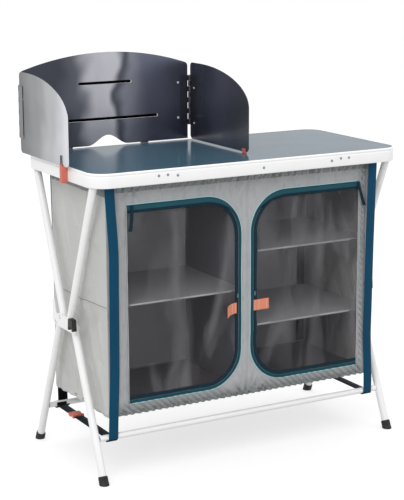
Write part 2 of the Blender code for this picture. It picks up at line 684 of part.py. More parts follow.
def build_knees():
    """The white knee plate on each side with its four pins, and the black cover on its front."""
    front, rear = -LOWER_PIN_Y - KNEE_PLATE_FRONT, LOWER_PIN_Y + KNEE_PLATE_MARGIN
    foot, crown = LOWER_PIN_Z - KNEE_PLATE_MARGIN, UPPER_PIN_Z + KNEE_PLATE_MARGIN
    shoulder = UPPER_PIN_Y + KNEE_PLATE_MARGIN * 3 / 4
    arm_top = crown + KNEE_ARM_RISE
    plate = filleted([
        (front, foot, 0.006),
        (rear, foot, 0.012),
        (rear + KNEE_ARM_WIDTH, foot + KNEE_NOTCH, 0.010),
        (rear + KNEE_ARM_WIDTH, arm_top, 0.004),
        (rear, arm_top, 0.004),
        (rear - KNEE_NOTCH, crown - KNEE_NOTCH, 0.008),
        (shoulder, crown, 0.010),
        (-shoulder, crown, 0.010),
        (front, UPPER_PIN_Z, 0.006),
    ], 4)
    mouth = (-LOWER_PIN_Y - KNEE_COVER_FORWARD, LOWER_PIN_Z + KNEE_COVER_LIFT)
    half = KNEE_COVER_MOUTH_RADIUS + KNEE_COVER_SIDE
    cover_top = mouth[1] + KNEE_COVER_HEIGHT
    cover = arc(mouth, KNEE_COVER_MOUTH_RADIUS, 180, 0, 10)
    cover += filleted([
        (mouth[0] + half, mouth[1], 0.002),
        (mouth[0] + half * 5 / 6, cover_top, 0.005),
        (mouth[0] - half * 5 / 6, cover_top, 0.007),
        (mouth[0] - half, mouth[1], 0.002),
    ], 4)
    pin_places = [(end * UPPER_PIN_Y, UPPER_PIN_Z) for end in ENDS.values()]
    pin_places += [(end * LOWER_PIN_Y, LOWER_PIN_Z) for end in ENDS.values()]
    for side, sign in SIDES.items():
        near, far = sign * KNEE_PLATE_X, sign * (KNEE_PLATE_X + KNEE_PLATE_THICKNESS)
        made = slab(f"knee_plate_{side}", WHITE_METAL, plate, "X", min(near, far), max(near, far))
        pins = [knee_pin(sign, y, z) for y, z in pin_places]
        boolean(made, helper(f"knee_pins_{side}", pins), "UNION")
        near, far = sign * KNEE_COVER_X, sign * (KNEE_COVER_X + KNEE_COVER_THICKNESS)
        slab(f"knee_cover_{side}", BLACK_PLASTIC, cover, "X", min(near, far), max(near, far), smooth=35)


def pin_bores():
    """Cross bores for the four pins of a side, in one hidden piece for each side."""
    bores = {}
    radius = PIN_RADIUS + PIN_CLEARANCE
    for side, sign in SIDES.items():
        start_x, end_x = sign * (LEG_X - 2 * LEG_RADIUS), sign * (LEG_X + 2 * LEG_RADIUS)
        places = [(end * UPPER_PIN_Y, UPPER_PIN_Z) for end in ENDS.values()]
        places += [(end * LOWER_PIN_Y, LOWER_PIN_Z) for end in ENDS.values()]
        rods = [
            turned_mesh(rod_profile(radius, abs(end_x - start_x)), 12, (start_x, y, z), (end_x, y, z))
            for y, z in places
        ]
        bores[side] = helper(f"pin_bores_{side}", rods)
    return bores


def build_upper_frames(bores):
    """Front and rear upper frames: two leg tubes coped to the rail that carries the worktop."""
    for end, away in ENDS.items():
        hinge = pivot(f"{end}_upper_axis", (0, away * UPPER_PIN_Y, UPPER_PIN_Z))
        half_rail = LEG_X + LEG_RADIUS - RAIL_END_INSET
        rail_start = (-half_rail, away * RAIL_Y, RAIL_Z)
        rail_end = (half_rail, away * RAIL_Y, RAIL_Z)
        tube(f"{end}_rail", WHITE_METAL, rail_start, rail_end, RAIL_RADIUS, RAIL_WALL, hinge)
        cope = helper(f"{end}_rail_cope", [
            turned_mesh(rod_profile(RAIL_RADIUS + GAP, 2 * LEG_X + 4 * LEG_RADIUS), 20,
                        (-LEG_X - 2 * LEG_RADIUS, away * RAIL_Y, RAIL_Z), rail_end)
        ])
        for side, sign in SIDES.items():
            down = Vector((0, -away * math.sin(UPPER_LEG_LEAN), -math.cos(UPPER_LEG_LEAN)))
            pin = Vector((sign * LEG_X, away * UPPER_PIN_Y, UPPER_PIN_Z))
            bottom = pin + down * LEG_PAST_PIN
            top = Vector((sign * LEG_X, away * RAIL_Y, RAIL_Z))
            leg = tube(f"{end}_upper_tube_{side}", WHITE_METAL, bottom, top, LEG_RADIUS, LEG_WALL, hinge)
            boolean(leg, cope, "DIFFERENCE")
            boolean(leg, bores[side], "DIFFERENCE")


def build_lower_frames(bores):
    """Front and rear lower frames: two leg tubes with foot caps and the stretcher between them."""
    reach = 2 * LEG_X
    square = [(-reach, -reach), (reach, -reach), (reach, reach), (-reach, reach)]
    ground = helper("below_ground", [slab_mesh(square, "Z", -GROUND_CUT_DEPTH, 0)])
    for end, away in ENDS.items():
        hinge = pivot(f"{end}_lower_axis", (0, away * LOWER_PIN_Y, LOWER_PIN_Z))
        half_length = LEG_X - LEG_RADIUS - GAP
        start = (-half_length, away * STRETCHER_Y, STRETCHER_HEIGHT)
        stop = (half_length, away * STRETCHER_Y, STRETCHER_HEIGHT)
        tube(f"{end}_stretcher", WHITE_METAL, start, stop, STRETCHER_RADIUS, STRETCHER_WALL, hinge)
        for side, sign in SIDES.items():
            up = Vector((0, -away * math.sin(LOWER_LEG_LEAN), math.cos(LOWER_LEG_LEAN)))
            on_ground = Vector((sign * LEG_X, away * FOOT_Y, 0))
            pin = Vector((sign * LEG_X, away * LOWER_PIN_Y, LOWER_PIN_Z))
            leg_bottom = on_ground + up * (CAP_SOLE + GAP)
            leg = tube(f"{end}_lower_tube_{side}", WHITE_METAL, leg_bottom, pin + up * LEG_PAST_PIN,
                       LEG_RADIUS, LEG_WALL, hinge)
            boolean(leg, bores[side], "DIFFERENCE")
            pocket = LEG_RADIUS + GAP
            outside = pocket + CAP_WALL
            below = outside * math.tan(LOWER_LEG_LEAN)
            profile = [
                (outside, -below),
                (outside, CAP_LENGTH),
                (pocket, CAP_LENGTH),
                (pocket, CAP_SOLE),
            ]
            cap = finish(f"{end}_foot_cap_{side}", turned_mesh(profile, 20, on_ground, pin),
                         BLACK_PLASTIC, hinge, 40)
            boolean(cap, ground, "DIFFERENCE")


def door_outline(sign, shrink):
    """A mesh door's outline, straight on its outer side and round on its inner corners."""
    inner, outer = DOOR_INNER_X + shrink, DOOR_OUTER_X - shrink
    bottom, top = DOOR_BOTTOM + shrink, DOOR_TOP - shrink
    radius = DOOR_CORNER_RADIUS - shrink
    return mirrored(filleted([
        (outer, bottom, 0),
        (outer, top, 0),
        (inner, top, radius),
        (inner, bottom, radius),
    ], 10), sign)


def build_front_and_back():
    """The cupboard's front panel with its two doorways, and its plain back panel."""
    half = CUPBOARD_HALF_WIDTH + FABRIC / 2
    sheet = filleted([
        (-half, CUPBOARD_BOTTOM, 0.004),
        (half, CUPBOARD_BOTTOM, 0.004),
        (half, CUPBOARD_TOP, 0.004),
        (-half, CUPBOARD_TOP, 0.004),
    ], 3)
    front = pivot("front_panel_slide", (0, -CUPBOARD_OUTER_Y, CUPBOARD_BOTTOM))
    back = pivot("back_panel_slide", (0, CUPBOARD_OUTER_Y, CUPBOARD_BOTTOM))
    doorways = [door_outline(sign, 0) for sign in SIDES.values()]
    slab("cupboard_front", GREY_FABRIC, sheet, "Y", -CUPBOARD_OUTER_Y, -CUPBOARD_INNER_Y, holes=doorways,
         parent=front)
    slab("cupboard_back", GREY_FABRIC, sheet, "Y", CUPBOARD_INNER_Y, CUPBOARD_OUTER_Y, parent=back)
    for side, sign in SIDES.items():
        build_door(side, sign, front)


def build_door(side, sign, front):
    """A mesh door with its zip slider and its pull tab, on the pivot at its outer edge."""
    face = -CUPBOARD_OUTER_Y
    hinge = pivot(f"door_{side}_axis", (sign * DOOR_OUTER_X, face - GAP, DOOR_BOTTOM), front)
    slab(f"door_{side}", BLACK_MESH, door_outline(sign, DOOR_GAP), "Y", face, -CUPBOARD_INNER_Y,
         parent=hinge)
    edge = DOOR_INNER_X + DOOR_GAP
    near, far = sign * edge, sign * (edge + SLIDER_SIZE.x)
    slide = pivot(f"zip_slider_{side}_axis", (near, face - GAP, SLIDER_HEIGHT), hinge)
    box(f"zip_slider_{side}", BARE_METAL, (min(near, far), face - GAP - SLIDER_SIZE.y, SLIDER_HEIGHT),
        (max(near, far), face - GAP, SLIDER_HEIGHT + SLIDER_SIZE.z), slide)
    sewn = sign * (DOOR_INNER_X + PULL_FROM_EDGE)
    tip = sewn + sign * PULL_LENGTH
    flap = pivot(f"door_pull_{side}_axis", (sewn, face - GAP, PULL_HEIGHT), hinge)
    low, high = PULL_HEIGHT - PULL_WIDTH / 2, PULL_HEIGHT + PULL_WIDTH / 2
    outline = filleted([
        (min(sewn, tip), low, 0.002),
        (max(sewn, tip), low, 0.002),
        (max(sewn, tip), high, 0.002),
        (min(sewn, tip), high, 0.002),
    ], 2)
    slab(f"door_pull_{side}", CORAL_WEBBING, outline, "Y", face - GAP - PULL_THICKNESS, face - GAP,
         parent=flap)


def side_fold(y, z):
    """How far the side panel stands out at a point, from the creases that run to its waist."""
    half_depth = CUPBOARD_INNER_Y - GAP
    above = (z - SIDE_WAIST_HEIGHT) / (CUPBOARD_TOP - SIDE_WAIST_HEIGHT)
    below = (SIDE_WAIST_HEIGHT - z) / (SIDE_WAIST_HEIGHT - CUPBOARD_BOTTOM)
    spread = max(above, below)
    crease = SIDE_WAIST_HALF_WIDTH + (half_depth - SIDE_WAIST_HALF_WIDTH) * spread
    from_crease = (abs(y) - crease) / SIDE_FOLD_WIDTH
    across = max(0.0, math.cos(math.pi * y / (2 * half_depth)))
    upright = max(0.0, math.sin(math.pi * (z - CUPBOARD_BOTTOM) / (CUPBOARD_TOP - CUPBOARD_BOTTOM)))
    belly = SIDE_BELLY * across * upright
    return belly + SIDE_FOLD_DEPTH * math.exp(-from_crease**2) * min(1.0, 2.5 * across)


def build_side_panels():
    """The two side panels of hanging cloth, with the creases that run to the waist."""
    half_depth = CUPBOARD_INNER_Y - GAP
    height = CUPBOARD_TOP - CUPBOARD_BOTTOM
    for side, sign in SIDES.items():
        cloth = bmesh.new()
        bmesh.ops.create_grid(cloth, x_segments=SIDE_GRID[0], y_segments=SIDE_GRID[1],
                              size=1.0)
        for point in cloth.verts:
            y = point.co.x * half_depth
            z = CUPBOARD_BOTTOM + (point.co.y + 1) / 2 * height
            point.co = (sign * (CUPBOARD_HALF_WIDTH + side_fold(y, z)), y, z)
        made = finish(f"cupboard_side_{side}", cloth, GREY_FABRIC, smooth=60)
        wall = made.modifiers.new("cloth thickness", "SOLIDIFY")
        wall.thickness = FABRIC
        wall.offset = 0.0


def shelf_outline(height):
    """A shelf seen from its end: (distance along Y, height), a thin board with a rod in its front hem."""
    front = -(CUPBOARD_INNER_Y - SHELF_SETBACK - SHELF_ROD_RADIUS)
    rear = CUPBOARD_INNER_Y - GAP
    half = SHELF_THICKNESS / 2
    meet = math.degrees(math.asin(half / SHELF_ROD_RADIUS))
    outline = arc((front, height), SHELF_ROD_RADIUS, meet, 360 - meet, 12)
    return outline + [(rear, height - half), (rear, height + half)]


def build_inside():
    """The cupboard's floor, its dividing wall and its three shelves."""
    depth = CUPBOARD_INNER_Y - GAP
    width = CUPBOARD_INNER_X
    box("cupboard_floor", GREY_BOARD, (-width, -depth, FLOOR_HEIGHT),
        (width, depth, FLOOR_HEIGHT + FLOOR_THICKNESS))
    box("cupboard_divider", GREY_FABRIC, (-FABRIC / 2, -depth, FLOOR_HEIGHT + FLOOR_THICKNESS + GAP),
        (FABRIC / 2, depth, CUPBOARD_TOP))
    inner = FABRIC / 2 + GAP
    shelves = {
        "shelf_left": (-width, -inner, LEFT_SHELF_HEIGHT),
        "shelf_right_upper": (inner, width, RIGHT_UPPER_SHELF_HEIGHT),
        "shelf_right_lower": (inner, width, RIGHT_LOWER_SHELF_HEIGHT),
    }
    for name, (start, end, height) in shelves.items():
        slab(name, GREY_BOARD, shelf_outline(height), "X", start, end, smooth=40)


def belt(upper, upper_radius, lower, lower_radius, away):
    """A strap's outline from over a rail, straight down its outer side and round under a stretcher.

    Points are (distance along Y, height), for the end whose outer side is +away."""
    down = Vector(lower) - Vector(upper)
    along = down.normalized()
    outward = Vector((-along.y, along.x))
    if outward.x < 0:
        outward = -outward
    lean = (upper_radius - lower_radius) / down.length
    normal = along * lean + outward * math.sqrt(1 - lean**2)
    straight = math.degrees(math.atan2(normal.y, normal.x))

    def path(extra):
        over = arc(upper, upper_radius + extra, 180 - STRAP_START, straight, 10)
        under = arc(lower, lower_radius + extra, straight, 180 - STRAP_END, 12)
        return over + under
    outline = path(0) + path(STRAP_THICKNESS)[::-1]
    return mirrored(outline, away)


def build_straps():
    """Webbing from each rail down to its stretcher, the tie strap between the stretchers and buckles."""
    rail_radius = RAIL_RADIUS + GAP
    stretcher_radius = STRETCHER_RADIUS + GAP
    low_angle = math.radians(STRAP_END)
    strap_low = STRETCHER_HEIGHT + stretcher_radius * math.sin(low_angle)
    strap_inner = STRETCHER_Y - (stretcher_radius + STRAP_THICKNESS) * math.cos(low_angle) - GAP
    buckles = pivot("tie_buckles_slide", (0, BUCKLE_Y, strap_low))
    for side, sign in SIDES.items():
        low_x = sign * STRAP_X - STRAP_WIDTH / 2
        high_x = sign * STRAP_X + STRAP_WIDTH / 2
        for end, away in ENDS.items():
            outline = belt((RAIL_Y, RAIL_Z), rail_radius, (STRETCHER_Y, STRETCHER_HEIGHT),
                           stretcher_radius, away)
            inset = sign * REAR_STRAP_INSET if end == "rear" else 0.0
            slab(f"{end}_strap_{side}", BLUE_WEBBING, outline, "X", low_x - inset, high_x - inset)
        half = STRAP_THICKNESS / 2
        box(f"tie_strap_{side}", NAVY_WEBBING, (low_x, -strap_inner, strap_low - half),
            (high_x, strap_inner, strap_low + half))
        slot = filleted([
            (low_x - GAP, strap_low - half - GAP, 0),
            (high_x + GAP, strap_low - half - GAP, 0),
            (high_x + GAP, strap_low + half + GAP, 0),
            (low_x - GAP, strap_low + half + GAP, 0),
        ])
        body = filleted([
            (low_x - GAP - BUCKLE_WALL, strap_low - half - GAP - BUCKLE_CHEEK, 0.003),
            (high_x + GAP + BUCKLE_WALL, strap_low - half - GAP - BUCKLE_CHEEK, 0.003),
            (high_x + GAP + BUCKLE_WALL, strap_low + half + GAP + BUCKLE_CHEEK, 0.003),
            (low_x - GAP - BUCKLE_WALL, strap_low + half + GAP + BUCKLE_CHEEK, 0.003),
        ], 3)
        slab(f"tie_buckle_{side}", CORAL_PLASTIC, body, "Y", BUCKLE_Y - BUCKLE_LENGTH / 2,
             BUCKLE_Y + BUCKLE_LENGTH / 2, holes=[slot], parent=buckles)


def main():
    """Builds the whole unit."""
    worktop = pivot("worktop_lift", (0, 0, RAIL_Z + RAIL_RADIUS))
    build_worktop(worktop)
    build_screen_back(worktop)
    build_screen_sides(worktop)
    build_rim_clip(worktop)
    build_knees()
    bores = pin_bores()
    build_upper_frames(bores)
    build_lower_frames(bores)
    build_front_and_back()
    build_side_panels()
    build_inside()
    build_straps()


main()
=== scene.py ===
"""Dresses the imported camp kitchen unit: finishes, cloth, trims, camera and light.

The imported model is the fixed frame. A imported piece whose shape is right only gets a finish. The others are
modelled again here in a finer form, each riding on the body that carries it. Metres, +Z up, front faces -Y.
"""
from __future__ import annotations

import json
import logging
import math
from dataclasses import dataclass
from enum import Enum
from itertools import repeat
from typing import Callable, ClassVar, Iterable, Sequence, Union

import bmesh
import bpy
from mathutils import Matrix, Vector, noise

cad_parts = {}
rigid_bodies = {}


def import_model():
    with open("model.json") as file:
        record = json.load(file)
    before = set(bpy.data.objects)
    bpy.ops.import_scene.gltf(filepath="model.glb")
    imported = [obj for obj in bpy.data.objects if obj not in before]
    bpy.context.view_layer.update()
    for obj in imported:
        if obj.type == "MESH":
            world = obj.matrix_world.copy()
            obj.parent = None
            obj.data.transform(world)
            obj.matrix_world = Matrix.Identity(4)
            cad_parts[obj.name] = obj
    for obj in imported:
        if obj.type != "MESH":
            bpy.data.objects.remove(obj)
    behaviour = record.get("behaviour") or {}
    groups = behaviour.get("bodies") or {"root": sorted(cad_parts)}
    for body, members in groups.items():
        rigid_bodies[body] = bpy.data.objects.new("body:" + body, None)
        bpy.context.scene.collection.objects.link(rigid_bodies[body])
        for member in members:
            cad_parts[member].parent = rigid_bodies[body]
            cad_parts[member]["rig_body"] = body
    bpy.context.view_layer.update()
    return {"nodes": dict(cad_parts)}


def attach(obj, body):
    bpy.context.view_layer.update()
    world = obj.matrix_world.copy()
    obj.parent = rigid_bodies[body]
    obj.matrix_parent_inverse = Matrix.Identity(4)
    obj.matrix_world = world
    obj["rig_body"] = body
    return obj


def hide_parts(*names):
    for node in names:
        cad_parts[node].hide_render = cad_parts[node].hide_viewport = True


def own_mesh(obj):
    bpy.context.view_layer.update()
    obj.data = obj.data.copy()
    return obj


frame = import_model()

LOG = logging.getLogger("camp_kitchen")
Point = tuple[float, float]
Colour = tuple[int, int, int]
Value = Union["Signal", bpy.types.NodeSocket, float, tuple]
Wall = Callable[[float, float, float], Vector]
UP, AHEAD = Vector((0, 0, 1)), Vector((0, -1, 0))
KNEES, PANEL = "knees_and_cupboard", "front_panel"


class Word(Enum):
    """A way along an axis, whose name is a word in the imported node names."""

    @property
    def label(self) -> str:
        """The word."""
        return self.name.lower()


class Side(Word):
    """The unit's left and right, as seen from the front, as signs along X."""

    LEFT = -1
    RIGHT = 1


class End(Word):
    """The unit's front and rear, as signs along Y."""

    FRONT = -1
    REAR = 1


class Axis(Enum):
    """The axis that a flat outline lies across, or that a pattern runs along."""

    X = 0
    Y = 1
    Z = 2

    def lift(self, point: Point, level: float) -> Vector:
        """A flat point's place in space, with its outline at this level along the axis."""
        made = list(point)
        made.insert(self.value, level)
        return Vector(made)


# Shader building


def operator(operation: str, reflected: bool = False) -> Callable[["Signal", Value], "Signal"]:
    """One of Python's operators on a signal, which adds a Math node, or its reflected form."""
    def apply(self: "Signal", other: Value) -> "Signal":
        return self.nodes.math(operation, *((other, self) if reflected else (self, other)))
    return apply


@dataclass(frozen=True)
class Signal:
    """A number in a shader: Python's operators on it add Math nodes."""

    nodes: "Nodes"
    socket: bpy.types.NodeSocket

    __add__, __radd__ = operator("ADD"), operator("ADD", True)
    __sub__, __rsub__ = operator("SUBTRACT"), operator("SUBTRACT", True)
    __mul__, __rmul__ = operator("MULTIPLY"), operator("MULTIPLY", True)

    def sine(self) -> "Signal":
        """The sine of this number in radians."""
        return self.nodes.math("SINE", self)

    def within(self) -> "Signal":
        """The number kept from 0 to 1."""
        return Signal(self.nodes, self.nodes.node("ShaderNodeClamp", {}, {"Value": self}).outputs[0])


class Nodes:
    """The nodes of a material or of the world."""

    def __init__(self, tree: bpy.types.NodeTree) -> None:
        """Takes up a tree of nodes."""
        self.tree = tree

    def feed(self, node: bpy.types.Node, values: dict[str | int, Value]) -> None:
        """Links signals and sockets to a node's sockets, and sets plain values on them."""
        for key, value in values.items():
            source = value.socket if isinstance(value, Signal) else value
            if isinstance(source, bpy.types.NodeSocket):
                self.tree.links.new(source, node.inputs[key])
            else:
                node.inputs[key].default_value = source

    def node(self, kind: str, settings: dict, values: dict[str | int, Value]) -> bpy.types.Node:
        """Adds a node.

        Args:
            kind: the node's type.
            settings: its own settings, made first.
            values: values or links for its sockets, by name or number.

        Returns:
            The node.
        """
        made = self.tree.nodes.new(kind)
        for name, value in settings.items():
            setattr(made, name, value)
        self.feed(made, values)
        return made

    def math(self, operation: str, *values: Value) -> Signal:
        """A Math node's result on up to two values."""
        made = self.node("ShaderNodeMath", {"operation": operation}, dict(enumerate(values)))
        return Signal(self, made.outputs[0])


class Shader(Nodes):
    """A material's nodes round its Principled shader."""

    def __init__(self, name: str, constants: dict[str, float | tuple]) -> None:
        """Starts a material, with plain values for some of the shader's own sockets."""
        self.material = bpy.data.materials.new(name)
        self.material.use_nodes = True
        super().__init__(self.material.node_tree)
        self.surface = self.tree.nodes["Principled BSDF"]
        self.feed(self.surface, constants)

    def place(self, scale: tuple = (1, 1, 1), turn: tuple = (0, 0, 0)) -> bpy.types.NodeSocket:
        """The point on the object, in metres, scaled and turned."""
        source = self.node("ShaderNodeTexCoord", {}, {}).outputs["Object"]
        made = self.node("ShaderNodeMapping", {}, {"Vector": source, "Rotation": turn, "Scale": scale})
        return made.outputs["Vector"]

    def along(self, axis: Axis, turn: tuple = (0, 0, 0)) -> Signal:
        """The distance along one axis, in metres, after a turn."""
        made = self.node("ShaderNodeSeparateXYZ", {}, {0: self.place(turn=turn)})
        return Signal(self, made.outputs[axis.value])

    def wave(self, axis: Axis, length: float, turn: tuple = (0, 0, 0)) -> Signal:
        """A sine wave from -1 to 1 along an axis, with this length in metres."""
        return (self.along(axis, turn) * (math.tau / length)).sine()

    def cloud(self, size: float, detail: float = 2.0, stretch: tuple = (1, 1, 1)) -> Signal:
        """Soft noise from 0 to 1 whose patches are about size metres across."""
        values = {"Vector": self.place(scale=stretch), "Scale": 1 / size, "Detail": detail}
        return Signal(self, self.node("ShaderNodeTexNoise", {}, values).outputs[0])

    def mix(self, factor: Value, first: Value, second: Value) -> bpy.types.NodeSocket:
        """A colour between two, first where the factor is 0."""
        settings = {"data_type": "RGBA", "blend_type": "MIX"}
        return self.node("ShaderNodeMix", settings, {0: factor, 6: first, 7: second}).outputs[2]

    def relief(self, height: Signal, depth: float) -> None:
        """Gives the surface a relief of this height signal, depth metres at full height."""
        made = self.node("ShaderNodeBump", {}, {"Distance": depth, "Height": height, "Strength": 1.0})
        self.feed(self.surface, {"Normal": made.outputs[0]})


def shade(colour: Colour, factor: float = 1.0) -> tuple[float, float, float, float]:
    """A display colour from 0 to 255 as the shader's colour, made darker or lighter by the factor."""
    red, green, blue = [((channel / 255.0) ** 2.2) * factor for channel in colour]
    return (red, green, blue, 1.0)


@dataclass(frozen=True)
class Finish:
    """A surface finish that is made into a material once, with plain values for some of its sockets."""

    constants: ClassVar[dict[str, float]] = {}
    name: str
    colour: Colour
    slot: str

    def tone(self, shader: Shader, factor: Value, low: float, high: float) -> bpy.types.NodeSocket:
        """The finish's colour between a darker and a lighter share of itself."""
        return shader.mix(factor, shade(self.colour, low), shade(self.colour, high))

    def paint(self, shader: Shader) -> dict[str, Value]:
        """Adds the finish's nodes and returns what they feed, by the surface's socket."""
        raise NotImplementedError

    def material(self) -> bpy.types.Material:
        """The finish's material, built on first use."""
        made = bpy.data.materials.get(self.name)
        if made is None:
            shader = Shader(self.name, {"Base Color": shade(self.colour), **self.constants})
            shader.feed(shader.surface, self.paint(shader))
            made = shader.material
        return made


@dataclass(frozen=True)
class Hard(Finish):
    """A hard surface with soft rubs that change its gloss by spread, and a fine grain if it has one.

    The rubs and the grain are each given as a size and a detail, and depth is the grain's relief. The tone
    goes from the lower to the higher of tones with the rubs, or with the grain where by_grain is set.
    """

    rub: ClassVar[Point]
    tones: ClassVar[Point]
    spread: ClassVar[float]
    grain: ClassVar[tuple] = ()
    depth: ClassVar[float] = 0.00005
    by_grain: ClassVar[bool] = False
    roughness: float = 0.29

    def paint(self, shader: Shader) -> dict[str, Value]:
        """Adds the finish's nodes and returns what they feed, by the surface's socket."""
        fine = soft = shader.cloud(*self.rub)
        if self.grain:
            fine = shader.cloud(*self.grain)
            shader.relief(fine, self.depth)
        tone = self.tone(shader, fine if self.by_grain else soft, *self.tones)
        return {"Base Color": tone, "Roughness": soft * self.spread + self.roughness}


class PowderCoat(Hard):
    """A baked powder coat on metal: fine orange peel and a faint soft mottle."""

    rub, tones, spread, grain = (0.045, 3.0), (0.93, 1.0), 0.10, (0.0016, 1.0)


class Moulding(Hard):
    """Moulded plastic with a fine spark-eroded grain."""

    rub, tones, spread, grain = (0.012, 3.0), (0.88, 1.08), 0.12, (0.0007, 2.0)


class BareMetal(Hard):
    """Plain metal of pins, rivets and zips, with small scuffs."""

    constants = {"Metallic": 1.0}
    rub, tones, spread = (0.0012, 3.0), (0.8, 1.1), 0.20


class Laminate(Hard):
    """The worktop's glossy laminate: a dark teal with a very fine speckle and a faint wear haze."""

    constants = {"Coat Weight": 0.02, "Coat Roughness": 0.06, "Specular IOR Level": 0.075}
    rub, tones, spread = (0.16, 3.0), (0.75, 1.3), 0.09
    grain, depth, by_grain = (0.0011, 3.0), 0.00001, True


@dataclass(frozen=True)
class SatinSteel(Finish):
    """Thin satin sheet steel, drawn and baked, whose tone changes softly along the sheet.

    The stops give the tone, as a display colour, at places along an axis: painted reflections, in light and dark
    bands. A wing's outer face, which is the part past split on the X axis, has stops of its own along Y, also
    painted reflections. Past press_depth along Y, the hollows of the pressed beads are dark with painted shade.
    """

    constants = {"Metallic": 1.0}
    # Painted shade in the pressed hollows.
    hollow: ClassVar[Colour] = (16, 16, 18)
    bare: ClassVar[Colour] = (30, 30, 34)
    stops: tuple = ()
    axis: Axis = Axis.X
    outer: tuple = ()
    split: float = 0.0
    press_depth: float = 0.0

    def run(self, shader: Shader, axis: Axis, stops: tuple, bend: Signal) -> Value:
        """The tone along an axis.

        Args:
            shader: the material in the making.
            axis: the axis that it changes along.
            stops: its places in metres, each with its display colour of painted reflection.
            bend: how far the places are moved, in metres.

        Returns:
            The tone, as a colour.
        """
        tone = shade(stops[0][1])
        place = shader.along(axis) + bend
        for (begin, _), (finish, colour) in zip(stops, stops[1:]):
            share = ((place - begin) * (1 / (finish - begin))).within()
            tone = shader.mix(share * share * (3.0 - share * 2.0), tone, shade(colour))
        return tone

    def paint(self, shader: Shader) -> dict[str, Value]:
        """Adds the finish's nodes and returns what they feed, by the surface's socket."""
        grain = shader.cloud(0.0009, 2.0)
        haze = shader.cloud(0.11, 2.5, (1.0, 1.0, 0.55))
        bend = (shader.cloud(0.085, 1.0) - 0.5) * 0.09
        shader.relief(grain, 0.000010)
        # Painted reflection: light and dark bands along the sheet, their places moved a little by bend.
        tone = self.run(shader, self.axis, self.stops or ((0.0, self.colour),), bend)
        # Painted reflection on a wing's outer face, in bands along Y.
        if self.outer:
            side = math.copysign(1.0, self.split)
            past = shader.math("GREATER_THAN", shader.along(Axis.X) * side, abs(self.split))
            tone = shader.mix(past, tone, self.run(shader, Axis.Y, self.outer, bend))
        tone = shader.mix(haze * 0.3, tone, shade(self.bare))
        # Painted shade: the pressed hollows are dark.
        if self.press_depth:
            pressed = shader.math("GREATER_THAN", shader.along(Axis.Y), self.press_depth)
            tone = shader.mix(pressed, tone, shade(self.hollow))
        return {"Base Color": tone, "Roughness": 0.19 + haze * 0.09 + grain * 0.04}


@dataclass(frozen=True)
class Cloth(Finish):
    """Coated woven cloth: a plain weave of two thread directions, with painted fold shade in soft dark streaks.

    The cloth is darker by a set share below a set height near its foot, a painted shade of its gathered foot.
    """

    constants = {"Sheen Weight": 0.15, "Sheen Roughness": 0.5, "Specular IOR Level": 0.25}
    thread: ClassVar[float] = 0.0011
    contrast: ClassVar[float] = 0.16
    # Painted shade towards the foot: its height and colour.
    dim_height: ClassVar[float] = 0.205
    dim_colour: ClassVar[Colour] = (70, 80, 78)
    across: Axis = Axis.X
    streak: float = 0.0
    dim: float = 0.0

    def paint(self, shader: Shader) -> dict[str, Value]:
        """Adds the finish's nodes and returns what they feed, by the surface's socket."""
        weave = shader.wave(self.across, self.thread) * shader.wave(Axis.Z, self.thread) * 0.5 + 0.5
        patch, fleck = shader.cloud(0.07, 4.0), shader.cloud(0.0035, 2.0)
        shader.relief(weave + fleck * 0.8, 0.00012)
        factor = (patch * 0.5 + weave * 0.15 + fleck * 0.35).within()
        tone = self.tone(shader, factor, 1 - self.contrast, 1 + self.contrast)
        # Painted shade: soft dark streaks that stand in for the shade of folds.
        if self.streak:
            lines = shader.cloud(0.011, 3.0, (1.0, 1.0, 0.35))
            rub = ((lines - 0.52) * 6.0).within() * self.streak
            tone = shader.mix(rub, tone, shade(self.colour, 0.42))
        # Painted shade: darker towards the foot, where it is gathered.
        if self.dim:
            low = ((self.dim_height - shader.along(Axis.Z)) * 40.0 + (patch - 0.5) * 1.2).within()
            tone = shader.mix(low * self.dim, tone, shade(self.dim_colour))
        return {"Base Color": tone, "Roughness": 0.74 + patch * 0.12}


@dataclass(frozen=True)
class Webbing(Finish):
    """Woven strap: cords that run along it, crossed by picks, with darker gaps between the cords."""

    constants = {"Sheen Weight": 0.06, "Sheen Roughness": 0.4, "Specular IOR Level": 0.2}
    across: Axis = Axis.X
    along: Axis = Axis.Z
    cord: float = 0.0024

    def paint(self, shader: Shader) -> dict[str, Value]:
        """Adds the finish's nodes and returns what they feed, by the surface's socket."""
        cords = shader.math("ABSOLUTE", shader.wave(self.across, 2 * self.cord))
        picks = shader.along(self.along) * (math.tau / (self.cord * 0.7))
        shifted = (picks + shader.along(self.across) * (math.tau / self.cord)).sine() * 0.5 + 0.5
        fuzz = shader.cloud(0.0016, 2.0)
        shader.relief(cords * 0.6 + shifted * 0.4 + fuzz * 0.3, 0.0003)
        factor = (cords * 0.3 + shifted * 0.25 + shader.cloud(0.09, 2.0) * 0.45).within()
        return {"Base Color": self.tone(shader, factor, 0.62, 1.3), "Roughness": 0.68 + fuzz * 0.15}


